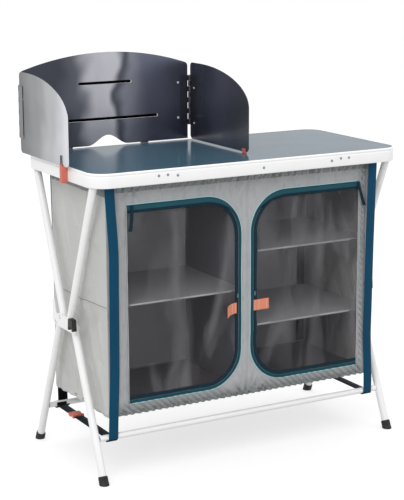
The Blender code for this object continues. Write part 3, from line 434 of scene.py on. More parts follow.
@dataclass(frozen=True)
class Net(Finish):
    """Fine knitted mesh: see-through in its small holes, greyer where light catches its slanted folds."""

    constants = {"Roughness": 0.75, "Sheen Weight": 0.1, "Specular IOR Level": 0.2}
    pitch: ClassVar[float] = 0.0021
    cover: ClassVar[float] = 0.22
    # Painted highlight: the grey that the net's slanted folds show where light catches them.
    haze: ClassVar[Colour] = (120, 119, 122)

    def paint(self, shader: Shader) -> dict[str, Value]:
        """Adds the finish's nodes and returns what they feed, by the surface's socket."""
        turn = (0.0, math.radians(45), 0.0)
        knit = shader.wave(Axis.X, self.pitch, turn) * shader.wave(Axis.Z, self.pitch, turn)
        holes = (knit * 0.5 + 0.5).within()
        slant = shader.place(scale=(1.0, 1.0, 0.30), turn=(0.0, math.radians(28), 0.0))
        values = {"Vector": slant, "Scale": 10.0, "Detail": 2.0, "Distortion": 0.9}
        smoke = Signal(shader, shader.node("ShaderNodeTexNoise", {}, values).outputs[0])
        fold = ((smoke - 0.48) * 4.5).within()
        shader.relief(holes, 0.0002)
        alpha = (self.cover - 0.06 + holes * 0.12 + fold * 0.20).within()
        return {"Base Color": shader.mix(fold, shade(self.colour), shade(self.haze)), "Alpha": alpha}


WHITE_COAT = PowderCoat("white_coat", (246, 247, 246), "white_steel")
RIM_COAT = PowderCoat("rim_coat", (251, 251, 251), "white_aluminium", 0.25)
ROD_COAT = PowderCoat("rod_coat", (252, 252, 252), "white_steel")
STEEL = SatinSteel("dark_sheet_steel", (96, 97, 106), "dark_steel")
# Painted reflections: the back sheet's light and dark bands along X, and its pressed hollows painted dark.
BACK_STEEL = SatinSteel("back_sheet_steel", (120, 122, 130), "dark_steel", press_depth=0.2158, stops=(
    (-0.36, (72, 75, 84)), (-0.305, (90, 93, 102)), (-0.240, (182, 182, 190)), (-0.200, (192, 192, 200)),
    (-0.174, (88, 90, 100)), (-0.148, (130, 133, 144)), (-0.085, (108, 112, 128))))
# Painted reflection: the left wing's lighter tone inside, and its outer face lighter towards the front.
LEFT_STEEL = SatinSteel("left_wing_steel", (120, 121, 126), "dark_steel", split=-0.4720, outer=(
    (0.20, (114, 116, 119)), (0.10, (148, 150, 151)), (0.0, (190, 192, 195)), (-0.10, (232, 233, 240))))
# Painted reflection: a lighter copy of the dark steel, for the left hinge leaf and the rivet tails on the wing's
# outer face.
LEAF_STEEL = SatinSteel("left_leaf_steel", (126, 128, 131), "dark_steel")
# Painted reflection: the right wing's tone lighter towards the front, inside and out.
RIGHT_STEEL = SatinSteel("right_wing_steel", (112, 111, 116), "dark_steel", axis=Axis.Y, split=0.0404, stops=(
    (0.19, (104, 105, 112)), (0.14, (124, 125, 132)), (0.04, (160, 159, 166)), (-0.06, (148, 147, 152))),
    outer=((0.20, (104, 105, 107)), (-0.11, (158, 159, 164))))
PIN_METAL = BareMetal("pin_metal", (206, 208, 210), "bare_metal", 0.25)
SLIDER_METAL = BareMetal("slider_metal", (92, 104, 108), "bare_metal", 0.25)
RIM_RIVET = BareMetal("rim_rivet", (142, 144, 146), "bare_metal", 0.25)
BOARD = Laminate("glossy_laminate", (64, 89, 104), "board_laminate", 0.13)
# Painted highlight: the bare metal rivet heads get a flat white that stands in for their bright glints.
RIVET_HIGHLIGHT_WHITE = Moulding("rivet_paint", (214, 214, 212), "bare_metal", 0.35)
BLACK_PLASTIC = Moulding("black_moulding", (15, 15, 16), "black_plastic", 0.5)
CORAL_PLASTIC = Moulding("coral_moulding", (206, 110, 92), "coral_plastic", 0.38)
THREAD = Moulding("sewing_thread", (206, 206, 204), "grey_fabric", 0.6)
TEAL_THREAD = Moulding("teal_thread", (172, 204, 212), "blue_webbing", 0.6)
ZIP_TEETH = Moulding("zip_teeth", (24, 70, 80), "blue_webbing", 0.35)
SIDE_CLOTH = Cloth("side_cloth", (197, 197, 195), "grey_fabric", Axis.Y)
# Painted shade: fold streaks and a darker foot on the front and back cloth.
FRONT_CLOTH = Cloth("front_cloth", (172, 174, 176), "grey_fabric", streak=0.22, dim=0.30)
# Darker than the front cloth, partly the hem's own grey and partly painted shade of its gathers, with strong
# streaks of painted fold shade.
HEM_CLOTH = Cloth("hem_cloth", (138, 142, 142), "grey_fabric", streak=0.6)
# Painted light: the shelves' cloth is paler than the cloth outside, to brighten the dim inside of the cupboard.
INNER_CLOTH = Cloth("inner_cloth", (214, 213, 215), "grey_board")
FLOOR_CLOTH = Cloth("floor_cloth", (128, 122, 126), "grey_board")
# Painted light: the lining is paler than the back cloth outside, to brighten the dim inside of the cupboard.
LINING_CLOTH = Cloth("lining_cloth", (232, 231, 235), "grey_fabric")
DIVIDER_CLOTH = Cloth("divider_cloth", (132, 130, 138), "grey_fabric", Axis.Y)
MESH_CLOTH = Net("door_mesh", (44, 44, 48), "black_mesh")
TEAL_TAPE = Webbing("teal_tape", (20, 74, 84), "blue_webbing", cord=0.0014)
FLAP_TAPE = Webbing("flap_tape", (38, 84, 95), "blue_webbing", cord=0.0014)
DARK_TAPE = Webbing("dark_tape", (14, 44, 58), "navy_webbing", cord=0.0014)
TEAL_STRAP = Webbing("teal_strap", (2, 68, 96), "blue_webbing")
NAVY_STRAP = Webbing("navy_strap", (3, 26, 36), "navy_webbing", along=Axis.Y)
BLACK_STRAP = Webbing("black_strap", (20, 21, 24), "black_plastic")
CORAL_TAPE = Webbing("coral_tape", (226, 138, 108), "coral_webbing", Axis.Z, Axis.X, 0.0030)


# Shape building


def arc(centre: Point, radius: float, start: float, end: float, steps: int) -> list[Point]:
    """Points on an arc, from the start angle to the end angle in degrees."""
    angles = [math.radians(start + (end - start) * i / steps) for i in range(steps + 1)]
    return [(centre[0] + radius * math.cos(a), centre[1] + radius * math.sin(a)) for a in angles]


def rounded(low: Point, high: Point, radii: Sequence[float], steps: int = 10) -> list[Point]:
    """A rectangle with round corners, counter-clockwise.

    Args:
        low: its lower left corner.
        high: its upper right corner.
        radii: the radius at the lower left, lower right, upper right and upper left corner.
        steps: the pieces of each round corner.

    Returns:
        The outline's points.
    """
    corners = [(*low, 1, 1, 180), (high[0], low[1], -1, 1, 270), (*high, -1, -1, 0), (low[0], high[1], 1, -1, 90)]
    points: list[Point] = []
    for (x, y, right, up, start), radius in zip(corners, radii):
        if radius:
            points += arc((x + right * radius, y + up * radius), radius, start, start + 90, steps)
        else:
            points.append((x, y))
    return points


def circle(radius: float, steps: int = 8) -> list[Point]:
    """A round section."""
    return arc((0.0, 0.0), radius, 0, 360 - 360 / steps, steps - 1)


def tape(width: float, thickness: float) -> list[Point]:
    """A flat tape's section with soft edges, lying on its first coordinate."""
    half, edge = width / 2, thickness / 2
    return [(-half, 0.0), (-half, edge), (-half + edge, thickness), (half - edge, thickness), (half, edge),
            (half, 0.0)]


def smooth(value: float) -> float:
    """A soft step from 0 to 1."""
    kept = min(1.0, max(0.0, value))
    return kept * kept * (3 - 2 * kept)


def bump(x: float, z: float, line: tuple[Point, Point], width: float) -> float:
    """How close a point is to a crease line, 1 on it and fading with distance and past its ends."""
    start, end = Vector(line[0]), Vector(line[1])
    run = end - start
    share = (Vector((x, z)) - start).dot(run) / run.length_squared
    held = min(1.0, max(0.0, share))
    away = (Vector((x, z)) - start - run * held).length
    taper = smooth(min(held, 1 - held) * 4 + 0.15)
    return math.exp(-((away / width) ** 2)) * taper


def bumps(x: float, z: float, width: float, lines: Sequence[tuple[Point, Point]]) -> float:
    """How close a point is to some crease lines, summed."""
    return sum(bump(x, z, line, width) for line in lines)


def drift(x: float, z: float, size: float, seed: float) -> float:
    """Soft fixed noise from about -1 to 1 whose patches are about size metres across."""
    return noise.noise(Vector((x / size, z / size, seed)))


def resampled(points: Sequence[Point], spacing: float, closed: bool = False) -> list[Vector]:
    """Points at an even spacing on a flat line of points across the Y axis."""
    line = [Axis.Y.lift(point, 0.0) for point in points]
    line += line[:1] if closed else []
    marks = [0.0]
    for before, after in zip(line, line[1:]):
        marks.append(marks[-1] + (after - before).length)
    count = max(2, round(marks[-1] / spacing))
    made: list[Vector] = []
    leg = 0
    for i in range(count if closed else count + 1):
        goal = marks[-1] * i / count
        while leg < len(line) - 2 and marks[leg + 1] < goal:
            leg += 1
        span = marks[leg + 1] - marks[leg]
        made.append(line[leg].lerp(line[leg + 1], (goal - marks[leg]) / span if span else 0.0))
    return made


def stations(line: Sequence[Vector], outward: Iterable[Vector]) -> list[Matrix]:
    """The places of a section along a line.

    Args:
        line: the line's points.
        outward: at each point, the way that the section's second coordinate points.

    Returns:
        One matrix for each point.
    """
    made: list[Matrix] = []
    for point, before, after, out in zip(line, [line[0], *line], [*line[1:], line[-1]], outward):
        way = (after - before).normalized()
        up = (out - way * out.dot(way)).normalized()
        made.append(Matrix.Translation(point) @ Matrix((up.cross(way), up, way)).transposed().to_4x4())
    return made


def ripple(along: float, length: float, place: Point, wander: tuple[float, float, float]) -> float:
    """A wave from -1 to 1 along a distance, whose phase wanders by the amount, patch size and seed of noise."""
    amount, size, seed = wander
    return math.sin(math.tau * along / length + amount * drift(*place, size, seed))


def straight(start: Point, end: Point, steps: int) -> list[Point]:
    """Points at an even spacing on a straight line."""
    run, rise = end[0] - start[0], end[1] - start[1]
    return [(start[0] + run * i / steps, start[1] + rise * i / steps) for i in range(steps + 1)]


def only(kind: type, items: Iterable) -> list:
    """The items of one kind."""
    return [item for item in items if isinstance(item, kind)]


class Form:
    """A mesh in the making, shaped with bmesh operators."""

    def __init__(self) -> None:
        """Starts an empty mesh."""
        self.mesh = bmesh.new()

    def ring(self, points: Iterable[Vector], closed: bool = True) -> list[bmesh.types.BMEdge]:
        """Adds a line of points, closed or open, and returns its edges."""
        made = [self.mesh.verts.new(point) for point in points]
        pairs = list(zip(made, made[1:])) + ([(made[-1], made[0])] if closed else [])
        return [self.mesh.edges.new(pair) for pair in pairs]

    def loops(self, outlines: Iterable[Sequence[Point]], axis: Axis, level: float) -> list[bmesh.types.BMEdge]:
        """Adds flat outlines that lie across an axis at a level, and returns their edges."""
        return [edge for outline in outlines for edge in self.ring(axis.lift(point, level) for point in outline)]

    def grow(self, edges: list[bmesh.types.BMEdge], matrix: Matrix) -> list[bmesh.types.BMEdge]:
        """Extrudes edges, moves the new ones by the matrix and returns them."""
        made = bmesh.ops.extrude_edge_only(self.mesh, edges=edges)["geom"]
        fresh = only(bmesh.types.BMVert, made)
        bmesh.ops.transform(self.mesh, matrix=matrix, verts=fresh)
        ends = set(fresh)
        return [edge for edge in only(bmesh.types.BMEdge, made) if ends.issuperset(edge.verts)]

    def thicken(self, shift: Vector) -> "Form":
        """Makes a flat form solid, with its other face moved by shift."""
        grown = bmesh.ops.extrude_face_region(self.mesh, geom=self.mesh.faces[:])["geom"]
        bmesh.ops.translate(self.mesh, verts=only(bmesh.types.BMVert, grown), vec=shift)
        return self.outward()

    def bevel(self, width: float, segments: int = 2, angle: float = 30.0) -> "Form":
        """Rounds every edge that is sharper than the angle in degrees."""
        limit = math.radians(angle)
        sharp = [edge for edge in self.mesh.edges if edge.is_manifold and edge.calc_face_angle(0.0) > limit]
        bmesh.ops.bevel(self.mesh, geom=sharp, offset=width, offset_type="OFFSET", affect="EDGES",
                        segments=segments, profile=0.5, material=-1, clamp_overlap=True)
        return self

    def outward(self) -> "Form":
        """Turns every face outwards."""
        bmesh.ops.recalc_face_normals(self.mesh, faces=self.mesh.faces)
        return self

    def moved(self, matrix: Matrix) -> "Form":
        """Moves the whole form."""
        bmesh.ops.transform(self.mesh, matrix=matrix, verts=self.mesh.verts)
        return self

    def everything(self) -> list:
        """Its corners, edges and faces."""
        return [*self.mesh.verts, *self.mesh.edges, *self.mesh.faces]

    def brick(self, place: Matrix, size: tuple[float, float, float]) -> None:
        """Adds a block."""
        bmesh.ops.create_cube(self.mesh, size=1.0, matrix=place @ Matrix.Diagonal((*size, 1)))

    def cast(self, name: str) -> bpy.types.Mesh:
        """Turns the form into a finished mesh."""
        made = bpy.data.meshes.new(name)
        self.mesh.to_mesh(made)
        self.mesh.free()
        return made

    def add(self, other: "Form") -> "Form":
        """Takes in another form."""
        carrier = other.cast("carrier")
        self.mesh.from_mesh(carrier)
        bpy.data.meshes.remove(carrier)
        return self

    @classmethod
    def plate(cls, outline: Sequence[Point], axis: Axis, low: float, high: float, bevel: float = 0.0,
              segments: int = 2) -> "Form":
        """A flat plate between two levels along an axis, with rounded edges.

        Args:
            outline: its flat outline.
            axis: the axis that it lies across.
            low: its lower level.
            high: its upper level.
            bevel: the rounding of its edges.
            segments: the pieces of the rounding.

        Returns:
            The plate.
        """
        form = cls()
        bmesh.ops.contextual_create(form.mesh, geom=form.loops([outline], axis, low))
        form.thicken(axis.lift((0.0, 0.0), high - low))
        return form.bevel(bevel, segments) if bevel else form

    @classmethod
    def turned(cls, profile: Sequence[Point], start: Vector, end: Vector, sides: int,
               closed: bool = False) -> "Form":
        """A turned shape on the line from start to end.

        Args:
            profile: its points as (radius, distance from start).
            start: where the line starts.
            end: a point further along the line.
            sides: the number of sides.
            closed: whether the profile is a ring, as a tube's is. An open one gets closed ends.

        Returns:
            The turned form.
        """
        form = cls()
        edges = form.ring((Vector((radius, 0, up)) for radius, up in profile), closed)
        bmesh.ops.spin(form.mesh, geom=form.mesh.verts[:] + edges, cent=(0, 0, 0), axis=UP, angle=math.tau,
                       steps=sides, use_merge=True)
        if not closed:
            bmesh.ops.holes_fill(form.mesh, edges=form.mesh.edges, sides=0)
        way = (end - start).normalized().to_track_quat("Z", "Y").to_matrix().to_4x4()
        return form.moved(Matrix.Translation(start) @ way).outward()

    @classmethod
    def sweep(cls, section: Sequence[Point], places: Sequence[Matrix], closed: bool = False) -> "Form":
        """A closed section, as points to the side and outwards, carried along an open or closed line."""
        form = cls()
        first = form.ring(places[0] @ Vector((side, out, 0)) for side, out in section)
        last = first
        for before, after in zip(places, places[1:]):
            last = form.grow(last, after @ before.inverted())
        if closed:
            bmesh.ops.bridge_loops(form.mesh, edges=first + last)
        else:
            bmesh.ops.holes_fill(form.mesh, edges=form.mesh.edges, sides=0)
        return form.outward()

    @classmethod
    def sheet(cls, cells: tuple[int, int], shape: Callable[[float, float], Vector]) -> "Form":
        """A grid of cloth shaped by a function of two shares from 0 to 1."""
        form = cls()
        bmesh.ops.create_grid(form.mesh, x_segments=cells[0], y_segments=cells[1], size=0.5)
        for vert in form.mesh.verts:
            vert.co = shape(vert.co.x + 0.5, vert.co.y + 0.5)
        return form.outward()

    @classmethod
    def cover(cls, cells: tuple[int, int], wall: Wall, low: Point, high: Point, out: float = 0.0) -> "Form":
        """A grid of cloth that lies on a wall, or out from it, between two of its corners."""
        def shape(u: float, v: float) -> Vector:
            return wall(low[0] + (high[0] - low[0]) * u, low[1] + (high[1] - low[1]) * v, out)

        return cls.sheet(cells, shape)

    @classmethod
    def ribbon(cls, flat: Sequence[Point], section: Sequence[Point], out: float, wall: Wall) -> "Form":
        """A tape or cord that lies on a wall, or out from it, along a flat line."""
        way = wall(*flat[0], 1.0) - wall(*flat[0], 0.0)
        return cls.sweep(section, stations([wall(*point, out) for point in flat], repeat(way)))

    @classmethod
    def copied(cls, node: str) -> "Form":
        """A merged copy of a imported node, with its flat faces whole again."""
        form = cls()
        form.mesh.from_mesh(frame["nodes"][node].data)
        bmesh.ops.remove_doubles(form.mesh, verts=form.mesh.verts, dist=1e-5)
        bmesh.ops.dissolve_limit(form.mesh, angle_limit=math.radians(1.0), verts=form.mesh.verts,
                                 edges=form.mesh.edges)
        return form.outward()


def placed(name: str, data: bpy.types.ID) -> bpy.types.Object:
    """A new object in the scene."""
    made = bpy.data.objects.new(name, data)
    bpy.context.scene.collection.objects.link(made)
    return made


def show(name: str, form: Form, finish: Finish, body: str, replaces: str = "", *, smoothing: float = 50.0,
         thickness: float = 0.0, even: bool = False, keep: float = 0.0) -> bpy.types.Object:
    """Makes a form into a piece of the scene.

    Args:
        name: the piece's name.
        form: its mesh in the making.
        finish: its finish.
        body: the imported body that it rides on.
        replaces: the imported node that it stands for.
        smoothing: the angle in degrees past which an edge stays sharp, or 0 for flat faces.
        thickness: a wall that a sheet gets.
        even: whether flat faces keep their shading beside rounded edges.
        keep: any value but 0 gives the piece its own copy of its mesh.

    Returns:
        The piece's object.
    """
    mesh = form.cast(name)
    if smoothing:
        mesh.shade_smooth()
        mesh.set_sharp_from_angle(angle=math.radians(smoothing))
    mesh.materials.append(finish.material())
    made = placed(name, mesh)
    if thickness:
        wall = made.modifiers.new("wall", "SOLIDIFY")
        wall.thickness = thickness
        wall.offset = 0.0
        wall.use_even_offset = False
    elif even:
        made.modifiers.new("even shading", "WEIGHTED_NORMAL").keep_sharp = True
    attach(made, body)
    if replaces:
        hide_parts(replaces)
    if keep:
        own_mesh(made)
    LOG.info("%s on %s, %d faces", name, body, len(mesh.polygons))
    return made


def coat(finish: Finish, node: str) -> None:
    """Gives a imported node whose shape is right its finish."""
    materials = frame["nodes"][node].data.materials
    materials.clear()
    materials.append(finish.material())


def refine(node: str, finish: Finish, width: float, segments: int = 2, angle: float = 35.0,
           shift: float = 0.0) -> None:
    """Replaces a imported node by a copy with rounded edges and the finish.

    Args:
        node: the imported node.
        finish: the copy's finish.
        width: the rounding of its edges.
        segments: the pieces of the rounding.
        angle: the angle in degrees past which an edge is rounded.
        shift: how far the copy is moved along X.
    """
    form = Form.copied(node).bevel(width, segments, angle).moved(Matrix.Translation((shift, 0.0, 0.0)))
    show(f"fine_{node}", form, finish, frame["nodes"][node]["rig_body"], node, even=True)


def rivets(name: str, heads: Iterable[tuple[Vector, Vector]], radius: float, height: float, finish: Finish,
           body: str, sides: int = 16) -> None:
    """Builds rivets' domed heads as one piece.

    Args:
        name: the piece's name.
        heads: each head's place on its face, and the way that it stands out.
        radius: a head's radius.
        height: a head's height.
        finish: the finish.
        body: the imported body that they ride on.
        sides: the number of sides of each.
    """
    profile = [(radius, -0.0006), (radius, height * 0.25), (radius * 0.82, height * 0.7),
               (radius * 0.45, height * 0.95), (radius * 0.12, height)]
    form = Form()
    for place, way in heads:
        form.add(Form.turned(profile, place, place + way, sides))
    show(name, form, finish, body, smoothing=60.0)


# The sub-assemblies


@dataclass
class Worktop:
    """The board in its white rim, with the braces under it and the rivets through the rim."""

    width: float = 0.918
    depth: float = 0.432
    top: float = 0.800
    corner: float = 0.050
    skirt: float = 0.037
    lining: float = 0.0033
    ledge: float = 0.0133
    ledge_top: float = 0.7873
    ledge_foot: float = 0.7838
    bead: float = 0.0036
    rivets: tuple = ((-0.281, 0.7842), (-0.2557, 0.7848), (-0.2275, 0.7812), (0.024, 0.7790),
                     (0.2347, 0.7800), (0.2633, 0.7845), (0.2889, 0.7845))

    def rim_section(self) -> list[Point]:
        """The rim's section as (outwards from its outer face, height)."""
        foot, middle = self.top - self.skirt, self.top + 0.0002 - self.bead
        bead = arc((self.bead, middle), self.bead, 90, 240, 9)
        face = [(0.0019, middle - 0.0040), (0.0012, middle - 0.0046), (0.0005, middle - 0.0056),
                (0.0003, middle - 0.0075), (0.0003, foot + 0.0020), (0.0007, foot + 0.0008),
                (0.0015, foot + 0.0002), (0.0025, foot + 0.0003)]
        inner = [(self.lining, foot + 0.0012), (self.lining, self.ledge_foot), (self.ledge, self.ledge_foot),
                 (self.ledge, self.ledge_top), (self.lining, self.ledge_top), (self.lining, self.top)]
        return [(-inset, level) for inset, level in bead + face + inner]

    def build(self) -> None:
        """Builds and dresses the worktop."""
        coat(BOARD, "top_board")
        width, depth = self.width / 2, self.depth / 2
        reach_x, reach_y = width - self.corner, depth - self.corner
        places = []
        for x, y in rounded((-width, -depth), (width, depth), [self.corner] * 4, 16):
            point = Vector((x, y, 0.0))
            inside = Vector((max(-reach_x, min(reach_x, x)), max(-reach_y, min(reach_y, y)), 0.0))
            way = (point - inside).normalized()
            turn = Matrix((way, UP, way.cross(UP))).transposed().to_4x4()
            places.append(Matrix.Translation(point) @ turn)
        form = Form.sweep(self.rim_section(), places, closed=True)
        show("rim", form, RIM_COAT, "worktop", "rim_frame", smoothing=35.0)
        for place in ("left", "centre", "right"):
            refine(f"brace_{place}", WHITE_COAT, 0.0006)
        heads = [(Vector((x, end.value * (depth - 0.0003), z)), Vector((0, end.value, 0)))
                 for end in End for x, z in self.rivets]
        rivets("rim_rivets", heads, 0.0036, 0.0014, RIM_RIVET, "worktop")


@dataclass
class Windscreen:
    """The three-sided screen of thin dark steel: back sheet, two wings, hinges, foot and rim clip.

    A bead is given as its ends and height, and a groove or hollow as the width and depth of its steps.
    """

    left_axis: float = -0.4706
    right_axis: float = 0.039
    axis_y: float = 0.2093
    knuckle: float = 0.0034
    foot: float = 0.803
    crown: float = 1.0556
    end_top: float = 1.0145
    corner: float = 0.012
    wing_corner: float = 0.015
    front: float = 0.213
    sheet: float = 0.001
    arch_x: float = -0.213
    arch_half: float = 0.061
    arch_rise: float = 0.027
    wing_front: float = -0.1135
    left_set_back: float = 0.0125
    wing_shoulder: float = 0.920
    wing_top: float = 1.0166
    wing_top_start: float = 0.152
    beads: tuple = ((-0.295, -0.143, 0.973), (-0.373, -0.063, 0.875))
    bead_half: float = 0.004
    groove: tuple = ((0.0010, 0.0006), (0.0008, 0.0012), (0.0006, 0.0012), (0.0005, 0.0002))
    dimples: tuple = ((-0.3045, 0.9640), (-0.1335, 0.9640), (-0.0535, 0.8815), (-0.3825, 0.8660))
    dimple: float = 0.0030
    hollow: tuple = ((0.0006, 0.0004), (0.0008, 0.0006), (0.0006, 0.0002))
    tabs: tuple = (-0.330, -0.100)
    tab_half: float = 0.012
    rim_back: float = 0.2163
    rim_top: float = 0.8003
    hook_foot: float = 0.782
    rivet_heights: tuple = (0.9608, 0.8628)
    back_rivets: tuple = ((-0.0334, 0.0), (-0.0180, -0.0110))
    wing_rivet: Point = (-0.0260, -0.0145)

    def back_outline(self) -> list[Point]:
        """The back sheet's outline with its arched top and the hose arch in its foot."""
        left, right = self.left_axis + self.knuckle, self.right_axis - self.knuckle
        half, middle = (right - left) / 2, (right + left) / 2
        rise = self.crown - self.end_top
        radius = (half**2 + rise**2) / (2 * rise)
        centre, across = self.crown - radius, half - self.corner
        up = math.sqrt((radius - self.corner) ** 2 - across**2)
        meet = math.degrees(math.atan2(up, across))
        top = arc((middle, centre), radius, meet, 180 - meet, 60)
        corner = arc((middle + across, centre + up), self.corner, 0, meet, 8)
        other = [(2 * middle - x, z) for x, z in corner[::-1]]
        arch = [(self.arch_x + self.arch_half * share,
                 self.foot + self.arch_rise * (1 + math.cos(math.pi * share)) / 2)
                for share in (i / 20 - 1 for i in range(41))]
        return [(left, self.foot), *arch, (right, self.foot), *corner, *top[1:-1], *other]

    def press(self, form: Form, loop: list[Point], steps: Sequence[Point]) -> None:
        """Presses a hollow into the sheet: fills the loop and insets it step by step.

        Args:
            form: the sheet, whose faces look to -Y.
            loop: the hollow's outline.
            steps: the width and depth of each step.
        """
        edges = form.loops([loop], Axis.Y, self.front)
        face = bmesh.ops.contextual_create(form.mesh, geom=edges)["faces"][0]
        face.normal_update()
        if face.normal.y > 0:
            face.normal_flip()
        for width, depth in steps:
            bmesh.ops.inset_region(form.mesh, faces=[face], thickness=width, depth=-depth, use_even_offset=True)

    def build_back(self) -> None:
        """Builds the back sheet with its pressed beads and dimples and its hook tabs."""
        form, half = Form(), self.bead_half
        beads = [rounded((first - half, height - half), (last + half, height + half), [half - 0.00001] * 4, 6)
                 for first, last, height in self.beads]
        dimples = [[(x + a, z + b) for a, b in circle(self.dimple, 14)] for x, z in self.dimples]
        edges = form.loops([self.back_outline(), *beads, *dimples], Axis.Y, self.front)
        bmesh.ops.triangle_fill(form.mesh, edges=edges, use_beauty=True)
        for loops, steps in ((beads, self.groove), (dimples, self.hollow)):
            for loop in loops:
                self.press(form, loop, steps)
        bmesh.ops.remove_doubles(form.mesh, verts=form.mesh.verts, dist=1e-6)
        form.thicken(Vector((0, self.sheet, 0)))
        show("screen_back", form, BACK_STEEL, "worktop", "windscreen_back", smoothing=38.0, even=True)
        near, back, crest = self.front + 0.0011, self.rim_back, self.rim_top
        far, start = near + self.sheet, self.foot + 0.014
        hook = [(near, start), (near, crest + 0.0012), (back, crest + 0.0002), (back, self.hook_foot),
                (back + self.sheet, self.hook_foot), (back + self.sheet, crest + 0.0012),
                (far, crest + 0.0026), (far, start)]
        tabs = Form()
        for x in self.tabs:
            tabs.add(Form.plate(hook, Axis.X, x - self.tab_half, x + self.tab_half, 0.0003))
        show("screen_tabs", tabs, STEEL, "worktop", even=True)

    def wing_outline(self, front: float) -> list[Point]:
        """A wing's outline as (distance along Y, height), with its free edge at front."""
        rear = self.axis_y - self.knuckle - 0.0003 - self.corner
        length, height = self.wing_top_start - front, self.wing_top - self.wing_shoulder
        curve = arc((0.0, 0.0), 1.0, 90, 180, 48)
        points = [(self.wing_top_start + length * a, self.wing_shoulder + height * b) for a, b in curve]
        points += arc((front + self.wing_corner, self.foot + self.wing_corner), self.wing_corner, 180, 270, 8)
        points += arc((rear, self.foot + self.corner), self.corner, 270, 360, 8)
        return points + arc((rear, self.wing_top - self.corner), self.corner, 0, 90, 8)

    def build(self) -> None:
        """Builds and dresses the windscreen."""
        self.build_back()
        for side, axis_x, set_back, steel, leaf in (
                (Side.LEFT, self.left_axis, self.left_set_back, LEFT_STEEL, LEAF_STEEL),
                (Side.RIGHT, self.right_axis, 0.0, RIGHT_STEEL, STEEL)):
            label, sign, body = side.label, side.value, f"wing_{side.label}"
            outer = axis_x + sign * (self.knuckle - 0.0015)
            inner = outer - sign * self.sheet
            outline = self.wing_outline(self.wing_front + set_back)
            wing = Form.plate(outline, Axis.X, min(outer, inner), max(outer, inner), 0.0003)
            show(f"screen_{body}", wing, steel, body, f"windscreen_{body}", even=True)
            for node, finish in (("leaf_back", STEEL), ("leaf_wing", leaf), ("pin", PIN_METAL)):
                coat(finish, f"hinge_{node}_{label}")
            # The rivet heads' flat white is a painted highlight for their glints.
            heads = [(Vector((axis_x + sign * x, self.front, height + up)), AHEAD)
                     for height in self.rivet_heights for x, up in self.back_rivets]
            rivets(f"back_rivets_{label}", heads, 0.0034, 0.0012, RIVET_HIGHLIGHT_WHITE, "worktop")
            along, up = self.wing_rivet
            for name, x, way, finish in (("rivets", inner, -sign, RIVET_HIGHLIGHT_WHITE),
                                         ("rivet_tails", outer, sign, LEAF_STEEL)):
                heads = [(Vector((x, self.axis_y + along, height + up)), Vector((way, 0, 0)))
                         for height in self.rivet_heights]
                rivets(f"wing_{name}_{label}", heads, 0.0030, 0.0012, finish, body)
        refine("wing_foot_right", CORAL_PLASTIC, 0.0009, 3)
        refine("rim_clip", CORAL_PLASTIC, 0.0008, 3)
        refine("rim_clip_hook", BLACK_PLASTIC, 0.0004)


